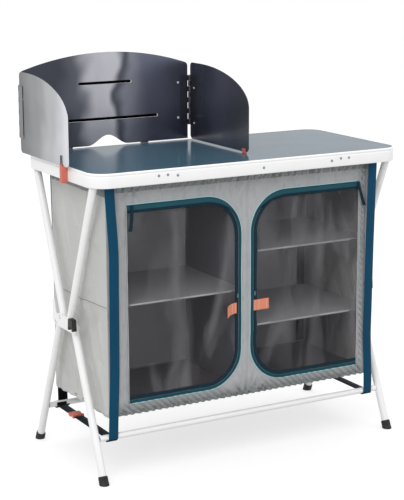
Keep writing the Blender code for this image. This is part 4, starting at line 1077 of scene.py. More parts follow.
@dataclass
class LegFrame:
    """The crossed legs: four folding frames of white tube, their foot caps and the knees.

    A cross tube is given as its radius, its place along Y, its height and half its length.
    """

    leg_x: float = 0.4415
    leg_radius: float = 0.010
    wall: float = 0.0015
    lower_lean: float = math.radians(23.4)
    past_pin: float = 0.011
    upper_pin: Point = (0.0186, 0.392)
    lower_pin: Point = (0.044, 0.374)
    rail: tuple = (0.010, 0.17677, 0.7692, 0.4475)
    stretcher: tuple = (0.008, 0.15954, 0.107, 0.4312)
    foot_y: float = 0.20584
    in_cap: float = 0.0093
    cap_length: float = 0.022
    rib: float = 0.0006
    plate_x: float = 0.4518
    plate_thickness: float = 0.003

    def tube(self, name: str, start: Vector, end: Vector, radius: float, body: str) -> None:
        """A white tube with rounded lips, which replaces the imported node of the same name."""
        length, inside, lip = (end - start).length, radius - self.wall, 0.0004
        profile = [(inside, 0), (radius - lip, 0), (radius, lip), (radius, length - lip),
                   (radius - lip, length), (inside, length)]
        form = Form.turned(profile, start, end, 40, closed=True)
        show(f"tube_{name}", form, WHITE_COAT, body, name, smoothing=40.0)

    def plugs(self, body: str, starts: Iterable[Vector], radius: float) -> None:
        """Black plugs in both ends of a cross tube."""
        inside, outside = radius - self.wall, radius - 0.0003
        profile = [(inside, -0.006), (inside, 0.0), (outside, 0.0), (outside, 0.0008), (radius - 0.0015, 0.0018),
                   (radius * 0.3, 0.0022)]
        form = Form()
        for side, start in zip(Side, starts):
            form.add(Form.turned(profile, start, start + Vector((side.value, 0, 0)), 28))
        show(f"{body}_plugs", form, BLACK_PLASTIC, body, smoothing=40.0)

    def foot_cap(self, end: End, side: Side) -> None:
        """A ribbed black cap on a leg's foot, cut level with the ground."""
        on_ground = Vector((side.value * self.leg_x, end.value * self.foot_y, 0.0))
        up = Vector((0, -end.value * math.sin(self.lower_lean), math.cos(self.lower_lean)))
        outer, pocket, top, rib = self.leg_radius + 0.0023, self.leg_radius + 0.0003, self.cap_length, self.rib
        profile = [(outer + rib, -0.008), (outer + rib, 0.0055), (outer, 0.0068)]
        for start in (0.0084 + i * 0.0038 for i in range(3)):
            profile += [(outer, start), (outer + rib, start + rib), (outer + rib, start + 0.0016),
                        (outer, start + 0.0022)]
        profile += [(outer, top - 0.0014), (outer - rib, top - 0.0003), (pocket, top), (pocket, 0.0095)]
        form = Form.turned(profile, on_ground, on_ground + up, 36)
        cut = bmesh.ops.bisect_plane(form.mesh, geom=form.everything(), plane_co=(0, 0, 0), plane_no=UP,
                                     clear_inner=True)["geom_cut"]
        bmesh.ops.holes_fill(form.mesh, edges=only(bmesh.types.BMEdge, cut), sides=0)
        name = f"{end.label}_foot_cap_{side.label}"
        show(f"ribbed_{name}", form.outward(), BLACK_PLASTIC, f"{end.label}_lower", name, smoothing=35.0)

    def knee(self, side: Side) -> None:
        """A knee plate with its rivet heads, and its black cover."""
        refine(f"knee_plate_{side.label}", WHITE_COAT, 0.0006, angle=40.0)
        refine(f"knee_cover_{side.label}", BLACK_PLASTIC, 0.0012, 3)
        face = side.value * (self.plate_x + self.plate_thickness)
        heads = [(Vector((face, *pin)), Vector((side.value, 0, 0))) for pin in (self.upper_pin, self.lower_pin)]
        rivets(f"knee_rivets_{side.label}", heads, 0.0058, 0.0022, PIN_METAL, KNEES, 20)

    def build(self) -> None:
        """Builds and dresses the legs."""
        for end in End:
            upper, lower = f"{end.label}_upper", f"{end.label}_lower"
            for node, body, (radius, y, z, half) in (("rail", upper, self.rail),
                                                     ("stretcher", lower, self.stretcher)):
                tips = [Vector((side.value * half, end.value * y, z)) for side in Side]
                self.tube(f"{end.label}_{node}", *tips, radius, body)
                if node == "rail":
                    self.plugs(body, tips, radius)
            for side in Side:
                top, pin, low_pin, ground = (
                    Vector((side.value * self.leg_x, end.value * y, z))
                    for y, z in (self.rail[1:3], self.upper_pin, self.lower_pin, (self.foot_y, 0.0)))
                down, up = (pin - top).normalized(), (low_pin - ground).normalized()
                self.tube(f"{upper}_tube_{side.label}", pin + down * self.past_pin, top, self.leg_radius, upper)
                self.tube(f"{lower}_tube_{side.label}", ground + up * self.in_cap, low_pin + up * self.past_pin,
                          self.leg_radius, lower)
                self.foot_cap(end, side)
        for side in Side:
            self.knee(side)


@dataclass
class Cupboard:
    """The cloth cupboard: four walls with their folds, floor, divider, shelves and sewn trims.

    A hem is given as its name, height and width, a shelf as its name, ends and height, and a crease or dent as its
    line's two ends. Each keep goes to the pieces of one kind, and any keep but 0 gives them their own copy of
    their mesh.
    """

    half_width: float = 0.405
    outer_y: float = 0.16647
    cloth: float = 0.0012
    foot: float = 0.160
    top: float = 0.766
    waist: float = 0.447
    waist_half: float = 0.030
    fold_depth: float = 0.006
    fold_width: float = 0.020
    belly: float = 0.003
    door_inner: float = 0.0225
    door_outer: float = 0.3475
    right_wider: float = 0.0095
    door_foot: float = 0.198
    door_top: float = 0.700
    foot_radius: float = 0.095
    top_radius: float = 0.098
    seam_rise: float = 0.006
    seam_drop: float = 0.028
    seams: tuple = (0.3535, 0.3790)
    # Where the dark strips of painted shadow from the rear straps lie on the back cloth.
    band_x: float = 0.386
    band_foot: float = 0.175
    band_width: float = 0.026
    hems: tuple = (("top_hem", 0.7535, 0.0240), ("foot_hem", 0.1665, 0.0120))
    lining_foot: float = 0.172
    lining_share: float = 0.9 / 0.915
    floor_foot: float = 0.166
    floor_top: float = 0.1693
    front_gap: float = 0.010
    rod_span: Point = (0.040, 0.338)
    shelves: tuple = (("shelf_left", -0.4041, -0.0009, 0.447), ("shelf_right_upper", 0.0009, 0.4041, 0.547),
                      ("shelf_right_lower", 0.0009, 0.4041, 0.345))
    keep: float = 0.125
    divider_keep: float = 0.10
    shelf_keep: float = 0.08
    front_creases: tuple = (((0.004, 0.163), (0.034, 0.212)), ((0.003, 0.176), (0.022, 0.236)),
                            ((0.018, 0.163), (0.060, 0.190)), ((0.002, 0.728), (0.030, 0.700)))
    back_creases: tuple = (((-0.36, 0.70), (-0.20, 0.46)), ((0.36, 0.70), (0.22, 0.40)))
    side_creases: tuple = (((0.058, 0.705), (-0.012, 0.624)), ((0.105, 0.720), (0.050, 0.560)),
                           ((-0.060, 0.740), (-0.100, 0.600)), ((-0.120, 0.420), (-0.140, 0.290)),
                           ((0.02, 0.40), (-0.08, 0.25)), ((0.09, 0.38), (0.03, 0.22)),
                           ((-0.02, 0.30), (0.03, 0.18)))
    side_dents: tuple = (((0.170, 0.674), (0.118, 0.560)), ((0.122, 0.568), (0.059, 0.463)))

    @property
    def depth(self) -> float:
        """Half the depth inside the front and back cloths."""
        return self.outer_y - self.cloth - 0.0003

    @property
    def edge(self) -> float:
        """How far the front and back cloths reach from the middle."""
        return self.half_width + self.cloth / 2

    def front_relief(self, x: float, z: float) -> float:
        """How far the front cloth stands out at a point: puckers, pleats and slack."""
        edge, here = abs(x), (x, z)
        wide = ripple(x - 0.9 * (z - 0.74), 0.0230, here, (5.0, 0.055, 1.0))
        fine = ripple(x - 0.4 * (z - 0.74), 0.0105, here, (6.0, 0.035, 10.0))
        gather = (0.0034 * wide + 0.0015 * fine) * (0.75 + 0.6 * drift(x, 0.0, 0.045, 5.0))
        gather *= smooth((z - 0.705) / 0.034)
        pleat = ripple(x + 1.1 * (z - 0.16), 0.0190, here, (2.6, 0.07, 2.0)) * smooth((0.198 - z) / 0.026)
        post = 0.0014 * math.exp(-((edge / 0.0045) ** 2))
        post += 0.0009 * math.sin(edge / 0.0155 * 9.0) * smooth((0.0180 - edge) / 0.008)
        slack = 0.0014 * drift(x, z, 0.085, 3.0) + 0.0013 * drift(x, z * 0.7, 0.028, 4.0)
        outer = smooth((edge - 0.349) / 0.010)
        pipes = 0.0028 * math.sin((edge - 0.349) / 0.0175 * math.tau) * (0.7 + 0.3 * drift(0.0, z, 0.15, 6.0))
        if x > 0:
            wave = ripple(z + 0.7 * (x - 0.36), 0.0185, here, (2.4, 0.09, 9.0))
            pipes = 0.4 * pipes + 0.0040 * wave * smooth((0.396 - x) / 0.010)
        pulled = 0.0054 * bumps(edge, z, 0.0042, self.front_creases)
        free = 1.0 - 0.8 * smooth((edge - 0.366) / 0.010)
        return (gather + 0.0044 * pleat + post + slack + outer * pipes + pulled) * free

    def place_x(self, x: float) -> float:
        """A place across the front, with the right doorway's outer edge moved out by right_wider."""
        if x <= self.door_outer:
            return x + self.right_wider * smooth((x - 0.20) / (self.door_outer - 0.20))
        return x + self.right_wider * max(0.0, self.edge - x) / (self.edge - self.door_outer)

    def front_point(self, x: float, z: float, out: float = 0.0) -> Vector:
        """A point on the front cloth, or out in front of it."""
        middle = self.outer_y - self.cloth / 2
        return Vector((self.place_x(x), -(middle + out + self.front_relief(x, z)), z))

    def doorway(self, sign: int, out: float = 0.0) -> list[Point]:
        """A doorway's outline grown by out, from its outer lower corner round its inner side."""
        low = (self.door_inner - out, self.door_foot - out)
        high = (self.door_outer + out, self.door_top + out)
        points = rounded(low, high, [self.foot_radius + out, 0.0, 0.0, self.top_radius + out], 16)
        return [(sign * x, z) for x, z in points]

    def opening_line(self, sign: int, out: float, spacing: float) -> list[Point]:
        """The doorway's line without its outer side: along the foot, up the inner side, along the top."""
        under, over, inner = self.foot_radius + out, self.top_radius + out, self.door_inner - out
        low, high = self.door_foot - out, self.door_top + out
        line = [(self.door_outer, low), *arc((inner + under, low + under), under, 270, 180, 24),
                *arc((inner + over, high - over), over, 180, 90, 24), (self.door_outer, high)]
        return [(sign * point.x, point.z) for point in resampled(line, spacing)]

    def upright(self, x: float) -> list[Point]:
        """An upright seam's line on the front cloth."""
        return straight((x, self.foot + self.seam_rise), (x, self.top - self.seam_drop), 120)

    def build_front(self) -> None:
        """Builds the front cloth with its two doorways, hem bands, seams and pipings."""
        form, half = Form(), self.edge
        outline = resampled(self.doorway(1), 0.0044, closed=True)
        middle = Vector(((self.door_inner + self.door_outer) / 2, 0, (self.door_foot + self.door_top) / 2))
        low, high = Vector((0.0, 0, self.foot)), Vector((half, 0, self.top))
        outer = []
        for point in outline:
            way = point - middle
            reach = [((high if way[k] > 0 else low)[k] - middle[k]) / way[k] for k in (0, 2) if abs(way[k]) > 1e-9]
            outer.append(middle + way * min(reach))
        for x, z in ((0.0, self.foot), (half, self.foot), (half, self.top), (0.0, self.top)):
            goal = Vector((x, 0, z))
            outer[min(range(len(outer)), key=lambda i: (outer[i] - goal).length)] = goal
        rings = form.ring(outline) + form.ring(outer)
        bridged = bmesh.ops.bridge_loops(form.mesh, edges=rings)["edges"]
        kept = set(rings)
        bmesh.ops.subdivide_edges(form.mesh, edges=[edge for edge in bridged if edge not in kept], cuts=11,
                                  use_grid_fill=True)
        bmesh.ops.mirror(form.mesh, geom=form.everything(), matrix=Matrix.Identity(4), merge_dist=1e-5, axis="X")
        bmesh.ops.remove_doubles(form.mesh, verts=form.mesh.verts, dist=1e-5)
        for vert in form.mesh.verts:
            vert.co = self.front_point(vert.co.x, vert.co.z)
        front = show("front_cloth", form.outward(), FRONT_CLOTH, PANEL, "cupboard_front", smoothing=70.0,
                     thickness=self.cloth)
        for label, height, width in self.hems:
            band = Form.cover((360, 5), self.front_point, (-half, height - width / 2), (half, height + width / 2),
                              0.0010)
            show(f"front_{label}", band, HEM_CLOTH, PANEL, smoothing=70.0, thickness=0.0009)
        pipes = Form()
        for side in Side:
            for x in self.seams:
                pipes.add(Form.ribbon(self.upright(side.value * x), circle(0.0017), 0.0012, self.front_point))
        pipes.add(Form.ribbon(self.upright(0.0), circle(0.0010), 0.0008, self.front_point))
        show("front_pipings", pipes, FRONT_CLOTH, PANEL, smoothing=60.0)

    def doorway_area(self) -> float:
        """The area of one doorway."""
        width, height = self.door_outer - self.door_inner, self.door_top - self.door_foot
        return width * height - (self.foot_radius**2 + self.top_radius**2) * (1 - math.pi / 4)

    def back_point(self, x: float, z: float, out: float = 0.0) -> Vector:
        """A point on the back cloth, or out behind it."""
        slack = 0.0030 * drift(x, z * 0.5, 0.085, 7.0) + 0.0012 * drift(x, z, 0.030, 8.0)
        pulls = 0.004 * bumps(x, z, 0.014, self.back_creases)
        pulls += 0.003 * bump(x, z, ((0.05, 0.30), (0.20, 0.18)), 0.012)
        relief = max(0.0, slack + 0.0024 + pulls) * smooth((self.edge - abs(x)) / 0.05)
        return Vector((x, self.outer_y - self.cloth / 2 + out + relief, z))

    def build_back(self) -> None:
        """Builds the back cloth, which hangs with soft folds, and its lining, its dark strips of painted strap
        shadow and its hems.
        """
        half, panel, inner = self.edge, "back_panel", self.edge * self.lining_share
        form = Form.cover((150, 112), self.back_point, (-half, self.foot), (half, self.top))
        back = show("back_cloth", form, FRONT_CLOTH, panel, "cupboard_back", smoothing=70.0, thickness=self.cloth)
        # The lining's pale cloth is painted light inside the cupboard.
        lining_top = self.top - 0.004
        form = Form.cover((120, 96), self.back_point, (-inner, self.lining_foot), (inner, lining_top), -0.0021)
        lining = show("back_lining", form, LINING_CLOTH, panel, smoothing=70.0, thickness=0.0008)
        # Painted shadow: dark strips on the inner face of the back cloth stand in for the shade of the rear straps
        # behind it.
        strap_shadows = Form()
        for side in Side:
            x = side.value * self.band_x
            flat = straight((x, self.band_foot), (x, self.top - 0.008), 80)
            strap_shadows.add(Form.ribbon(flat, tape(self.band_width, 0.0010), 0.0030,
                                  lambda x, z, out: self.back_point(x, z, -out)))
        show("corner_bands", strap_shadows, BLACK_STRAP, panel)
        trims = Form()
        for _, height, width in self.hems:
            flat = straight((-half, height), (half, height), 200)
            trims.add(Form.ribbon(flat, tape(width, 0.0009), 0.0005, self.back_point))
        show("back_hems", trims, HEM_CLOTH, panel)

    def side_fold(self, y: float, z: float) -> float:
        """How far a side wall stands out at a point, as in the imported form, with finer slack."""
        above = (z - self.waist) / (self.top - self.waist)
        below = (self.waist - z) / (self.waist - self.foot)
        crease = self.waist_half + (self.depth - self.waist_half) * max(above, below)
        from_crease = (abs(y) - crease) / self.fold_width
        across = max(0.0, math.cos(math.pi * y / (2 * self.depth)))
        upright = max(0.0, math.sin(math.pi * (z - self.foot) / (self.top - self.foot)))
        fold = self.fold_depth * math.exp(-(from_crease**2)) * min(1.0, 2.5 * across)
        slack = 0.0034 * drift(y, z * 0.6, 0.075, 11.0) + 0.0014 * drift(y, z, 0.024, 12.0)
        pulls = 0.0054 * bumps(y, z, 0.0048, self.side_creases) - 0.0066 * bumps(y, z, 0.0060, self.side_dents)
        pulls += 0.0070 * bump(y, z, ((-0.134, 0.684), (-0.052, 0.447)), 0.0180)
        hang = 0.0020 * smooth((0.30 - z) / 0.10) * ripple(y, 0.055, (y, z), (2.0, 0.12, 13.0))
        return self.belly * across * upright + fold + (slack + pulls + hang) * min(1.0, 3 * across)

    def side_wall(self, side: Side) -> Wall:
        """The function that places a point of a side wall, or out from it."""
        def wall(y: float, z: float, out: float) -> Vector:
            rise = self.side_fold(y, z) + out
            if side is Side.LEFT:
                rise -= 0.0075 * bump(y, z, ((-0.130, 0.395), (0.020, 0.385)), 0.030)
            return Vector((side.value * (self.half_width + rise), y, z))

        return wall

    def build_sides(self) -> None:
        """Builds the side walls with their folds, seams and hems."""
        depth, height = self.depth, self.top - self.foot
        reach = depth - 0.001
        for side in Side:
            label, wall = side.label, self.side_wall(side)
            form = Form.cover((108, 190), wall, (-depth, self.foot), (depth, self.top))
            cloth = show(f"side_cloth_{label}", form, SIDE_CLOTH, KNEES, f"cupboard_side_{label}", smoothing=70.0,
                         thickness=self.cloth, keep=self.keep)
            seams, hem = Form(), Form()
            # The side hem is set low below the rim, so its darker cloth also stands in for the shade under the
            # rim.
            for form, level, drop, section, out in (
                    (seams, 0.4415, 0.004, tape(0.0070, 0.0008), 0.0005),
                    (seams, 0.1660, 0.004, tape(0.0120, 0.0008), 0.0005),
                    (hem, 0.7445, 0.0, tape(0.023, 0.0009), 0.0005),
                    (hem, 0.4455, 0.004, circle(0.0011), 0.0008)):
                flat = straight((-reach, level + drop), (reach, level - drop), 120)
                form.add(Form.ribbon(flat, section, out, wall))
            for name, form, finish in (("seams", seams, SIDE_CLOTH), ("hem", hem, HEM_CLOTH)):
                show(f"side_{name}_{label}", form, finish, KNEES, keep=self.keep)

    def build_inside(self) -> None:
        """Builds the floor, the dividing wall and the shelves with their light front rods."""
        depth, width, base = self.depth, self.half_width - self.cloth / 2 - 0.0003, self.floor_top
        floor = rounded((-width, -depth), (width, depth), [0.004] * 4, 4)
        form = Form.plate(floor, Axis.Z, self.floor_foot, self.floor_foot + 0.003, 0.0010)
        show("floor_board", form, FLOOR_CLOTH, KNEES, "cupboard_floor", even=True, keep=self.keep)

        def wall(y: float, z: float, out: float) -> Vector:
            held = smooth((depth - abs(y)) / 0.03) * smooth((z - base) / 0.03)
            return Vector((0.0006 * drift(y, z, 0.05, 21.0) * held + out, y, z))

        form = Form.cover((50, 90), wall, (-depth, base), (depth, self.top))
        divider = show("dividing_cloth", form, DIVIDER_CLOTH, KNEES, "cupboard_divider", smoothing=70.0,
                       thickness=self.cloth, keep=self.divider_keep)
        front = -(depth + 0.0003 - self.front_gap)
        for name, start, end, height in self.shelves:
            outline = rounded((front, height - 0.002), (depth, height + 0.002), [0.0006] * 4, 2)
            show(f"{name}_board", Form.plate(outline, Axis.X, start, end), INNER_CLOTH, KNEES, name, even=True,
                 keep=self.shelf_keep)
            near, far = (Vector((math.copysign(x, start + end), front - 0.0014, height)) for x in self.rod_span)
            long = self.rod_span[1] - self.rod_span[0]
            rod = [(0.0020, 0.0), (0.0027, 0.0007), (0.0027, long - 0.0007), (0.0020, long)]
            show(f"{name}_front_rod", Form.turned(rod, near, far, 20), ROD_COAT, KNEES, smoothing=40.0,
                 keep=self.shelf_keep)

    def build(self) -> None:
        """Builds and dresses the cupboard."""
        self.build_front()
        self.build_back()
        self.build_sides()
        self.build_inside()


@dataclass
class Door:
    """A mesh door: its net, bound edge, zip, rain flap, hanging tie, slider and pull tab."""

    cupboard: Cupboard
    side: Side
    gap: float = 0.0005
    net_rings: int = 30
    slider_shift: float = 0.0070
    tie_size: Point = (0.010, 0.066)
    pull_sewn: float = 0.0245
    pull_height: float = 0.403
    pull_length: float = 0.046
    pull_width: float = 0.029
    stitch_lines: tuple = (0.0035, 0.0140, 0.0170, 0.0390)
    folds: tuple = (((0.30, 0.66), (0.16, 0.40)), ((0.10, 0.42), (0.27, 0.24)), ((0.06, 0.60), (0.14, 0.47)))

    @property
    def sign(self) -> int:
        """-1 for the left door and 1 for the right."""
        return self.side.value

    def either(self, left: float, right: float) -> float:
        """The left door's value or the right one's."""
        return left if self.side is Side.LEFT else right

    def net_relief(self, x: float, z: float, inside: float) -> float:
        """How far the net stands out at a point that lies inside metres in from its edge."""
        free = smooth(inside / 0.045)
        folds = 0.0042 * bumps(abs(x), z, 0.016, self.folds)
        slack = 0.0028 * drift(x, z, 0.11, 31.0 + self.sign) + 0.0010 * drift(x, z, 0.04, 33.0)
        return self.cupboard.front_relief(x, z) * (1 - free) + (folds + slack) * free

    def build_net(self) -> None:
        """Builds the net as rings from its edge to its middle."""
        box, count, name = self.cupboard, self.net_rings, f"door_{self.side.label}"
        width, height = (box.door_outer - box.door_inner) / 2, (box.door_top - box.door_foot) / 2
        centre = Vector((self.sign * (box.door_inner + width), 0, box.door_foot + height))
        form = Form()
        ring = form.ring(resampled(box.doorway(self.sign, -self.gap), 0.0070, closed=True))
        middle = Matrix.Translation(centre)
        for i in range(count - 1):
            scale = (count - i - 1) / (count - i)
            ring = form.grow(ring, middle @ Matrix.Diagonal((scale, 1, scale, 1)) @ middle.inverted())
        bmesh.ops.contextual_create(form.mesh, geom=ring)
        depth = box.outer_y - box.cloth / 2
        for vert in form.mesh.verts:
            x, _, z = vert.co
            inside = min(width - abs(x - centre.x), height - abs(z - centre.z))
            vert.co = Vector((box.place_x(x), -(depth + self.net_relief(x, z, max(0.0, inside))), z))
        net = show(f"net_{name}", form.outward(), MESH_CLOTH, name, name, smoothing=70.0, thickness=0.0006)
        box.doorway_area()

    def build_edges(self) -> None:
        """Builds the door's binding, the zip tape round the doorway, the teeth, the flap and the piping."""
        box, sign, label = self.cupboard, self.sign, self.side.label
        for name, body, out, section, lift, finish, smoothing in (
                ("door_binding", f"door_{label}", -0.0065, tape(0.0090, 0.0013), 0.0006, DARK_TAPE, 50.0),
                ("zip_tape", PANEL, 0.0048, tape(0.0078, 0.0012), 0.0006, TEAL_TAPE, 50.0),
                ("tape_seam", PANEL, 0.0093, circle(0.0013), 0.0008, TEAL_THREAD, 60.0)):
            form = Form.ribbon(box.opening_line(sign, out, 0.006), section, lift, box.front_point)
            show(f"{name}_{label}", form, finish, body, smoothing=smoothing)
        line = [box.front_point(*point, 0.0006) for point in box.opening_line(sign, -0.0002, 0.0026)]
        teeth = Form()
        for i, place in enumerate(stations(line, repeat(AHEAD))):
            shift = Matrix.Translation((0.0005 if i % 2 else -0.0005, 0.0006, 0))
            teeth.brick(place @ shift, (0.0021, 0.0013, 0.0012))
        show(f"zip_teeth_{label}", teeth, ZIP_TEETH, PANEL, smoothing=0.0)
        self.build_flap()
        x = sign * (box.door_outer + 0.0012)
        edge = straight((x, box.door_foot - 0.004), (x, box.door_top + 0.004), 110)
        show(f"door_outer_piping_{label}", Form.ribbon(edge, circle(0.0016), 0.0010, box.front_point), FRONT_CLOTH,
             PANEL, smoothing=60.0)

    def build_flap(self) -> None:
        """Builds the teal rain flap over the top of the doorway, which narrows round the inner corner."""
        box, label = self.cupboard, self.side.label
        line = box.opening_line(self.sign, 0.0, 0.004)
        start = next(i for i, (_, z) in enumerate(line) if z > box.door_top - 0.055)
        kept = [Vector(point) for point in line[start:]]
        centre = Vector((self.sign * (box.door_inner + box.top_radius), box.door_top - box.top_radius))

        def shape(u: float, v: float, over: float = 0.0) -> Vector:
            place = u * (len(kept) - 1)
            low = min(int(place), len(kept) - 2)
            here = kept[low].lerp(kept[low + 1], place - low)
            on_arc = abs(here.x) < abs(centre.x)
            inward = (centre - here).normalized() if on_arc else Vector((0.0, -1.0))
            point = here + inward * (0.0175 * smooth(u * 3.2 + 0.12) * v - 0.0065)
            lift = 0.0022 + 0.0040 * v * v * smooth(u * 4) + 0.0006 * drift(*point, 0.02, 41.0) + over
            return box.front_point(*point, lift)

        cells = max(60, len(line) // 3)
        flap = Form.sheet((cells, 6), shape)
        show(f"rain_flap_{label}", flap, FLAP_TAPE, PANEL, smoothing=60.0, thickness=0.0011)
        edge = Form.sheet((cells, 3), lambda u, v: shape(u, 0.64 + 0.38 * v, 0.0009))
        show(f"flap_binding_{label}", edge, DARK_TAPE, PANEL, smoothing=60.0, thickness=0.0008)

    def build_tie(self) -> None:
        """Builds the short tape that hangs from the doorway's top outer corner."""
        box, label = self.cupboard, self.side.label
        width, length = self.tie_size
        lean = self.sign * self.either(0.006, 0.018)
        start = box.place_x(self.sign * (box.door_outer - self.either(0.0115, 0.0045)))

        def shape(u: float, v: float) -> Vector:
            share = 1 - v
            x = start + lean * share**1.5 + width * (u - 0.5) * (1 - 0.25 * v)
            out = 0.0068 + 0.0022 * math.sin(share * 2.6) + 0.0009 * math.cos((u - 0.5) * 3.0)
            return Vector((x, -(box.outer_y + out), box.door_top + 0.0070 - length * share * 0.985))

        tie = show(f"hanging_tie_{label}", Form.sheet((4, 24), shape), DARK_TAPE, PANEL, smoothing=60.0,
                   thickness=0.0010)

    def build_pull(self) -> None:
        """Builds the zip slider and the coral pull tab with its sewn lines."""
        box, sign, label = self.cupboard, self.sign, self.side.label
        refine(f"zip_slider_{label}", SLIDER_METAL, 0.0008, angle=30.0, shift=sign * self.slider_shift)
        sewn = sign * (self.pull_sewn + self.either(0.0045, -0.0010))
        radius, slant = self.pull_length / math.radians(self.either(58.0, 5.0)), self.either(-0.10, 0.02)
        length, width = self.pull_length, self.pull_width

        def wall(along: float, across: float, out: float) -> Vector:
            angle = along / radius
            x = sewn + sign * (radius - out) * math.sin(angle)
            y = -(box.outer_y + 0.0010 + radius * (1 - math.cos(angle)) + out * math.cos(angle))
            return Vector((x, y, self.pull_height + across + slant * along))

        form = Form.cover((22, 14), wall, (0.0, -width / 2), (length, width / 2))
        show(f"pull_tab_{label}", form, CORAL_TAPE, f"pull_{label}", f"door_pull_{label}", smoothing=60.0,
             thickness=0.0018)
        stitches = Form()
        for along in self.stitch_lines:
            for i in range(9):
                place = wall(along, width * ((i + 0.5) / 9 - 0.5) * 0.94, 0.0011)
                stitches.brick(Matrix.Translation(place), (0.0007, 0.0006, 0.0024))
        show(f"pull_stitches_{label}", stitches, THREAD, f"pull_{label}", smoothing=0.0)

    def build(self) -> None:
        """Builds and dresses the door."""
        self.build_net()
        self.build_edges()
        self.build_tie()
        self.build_pull()


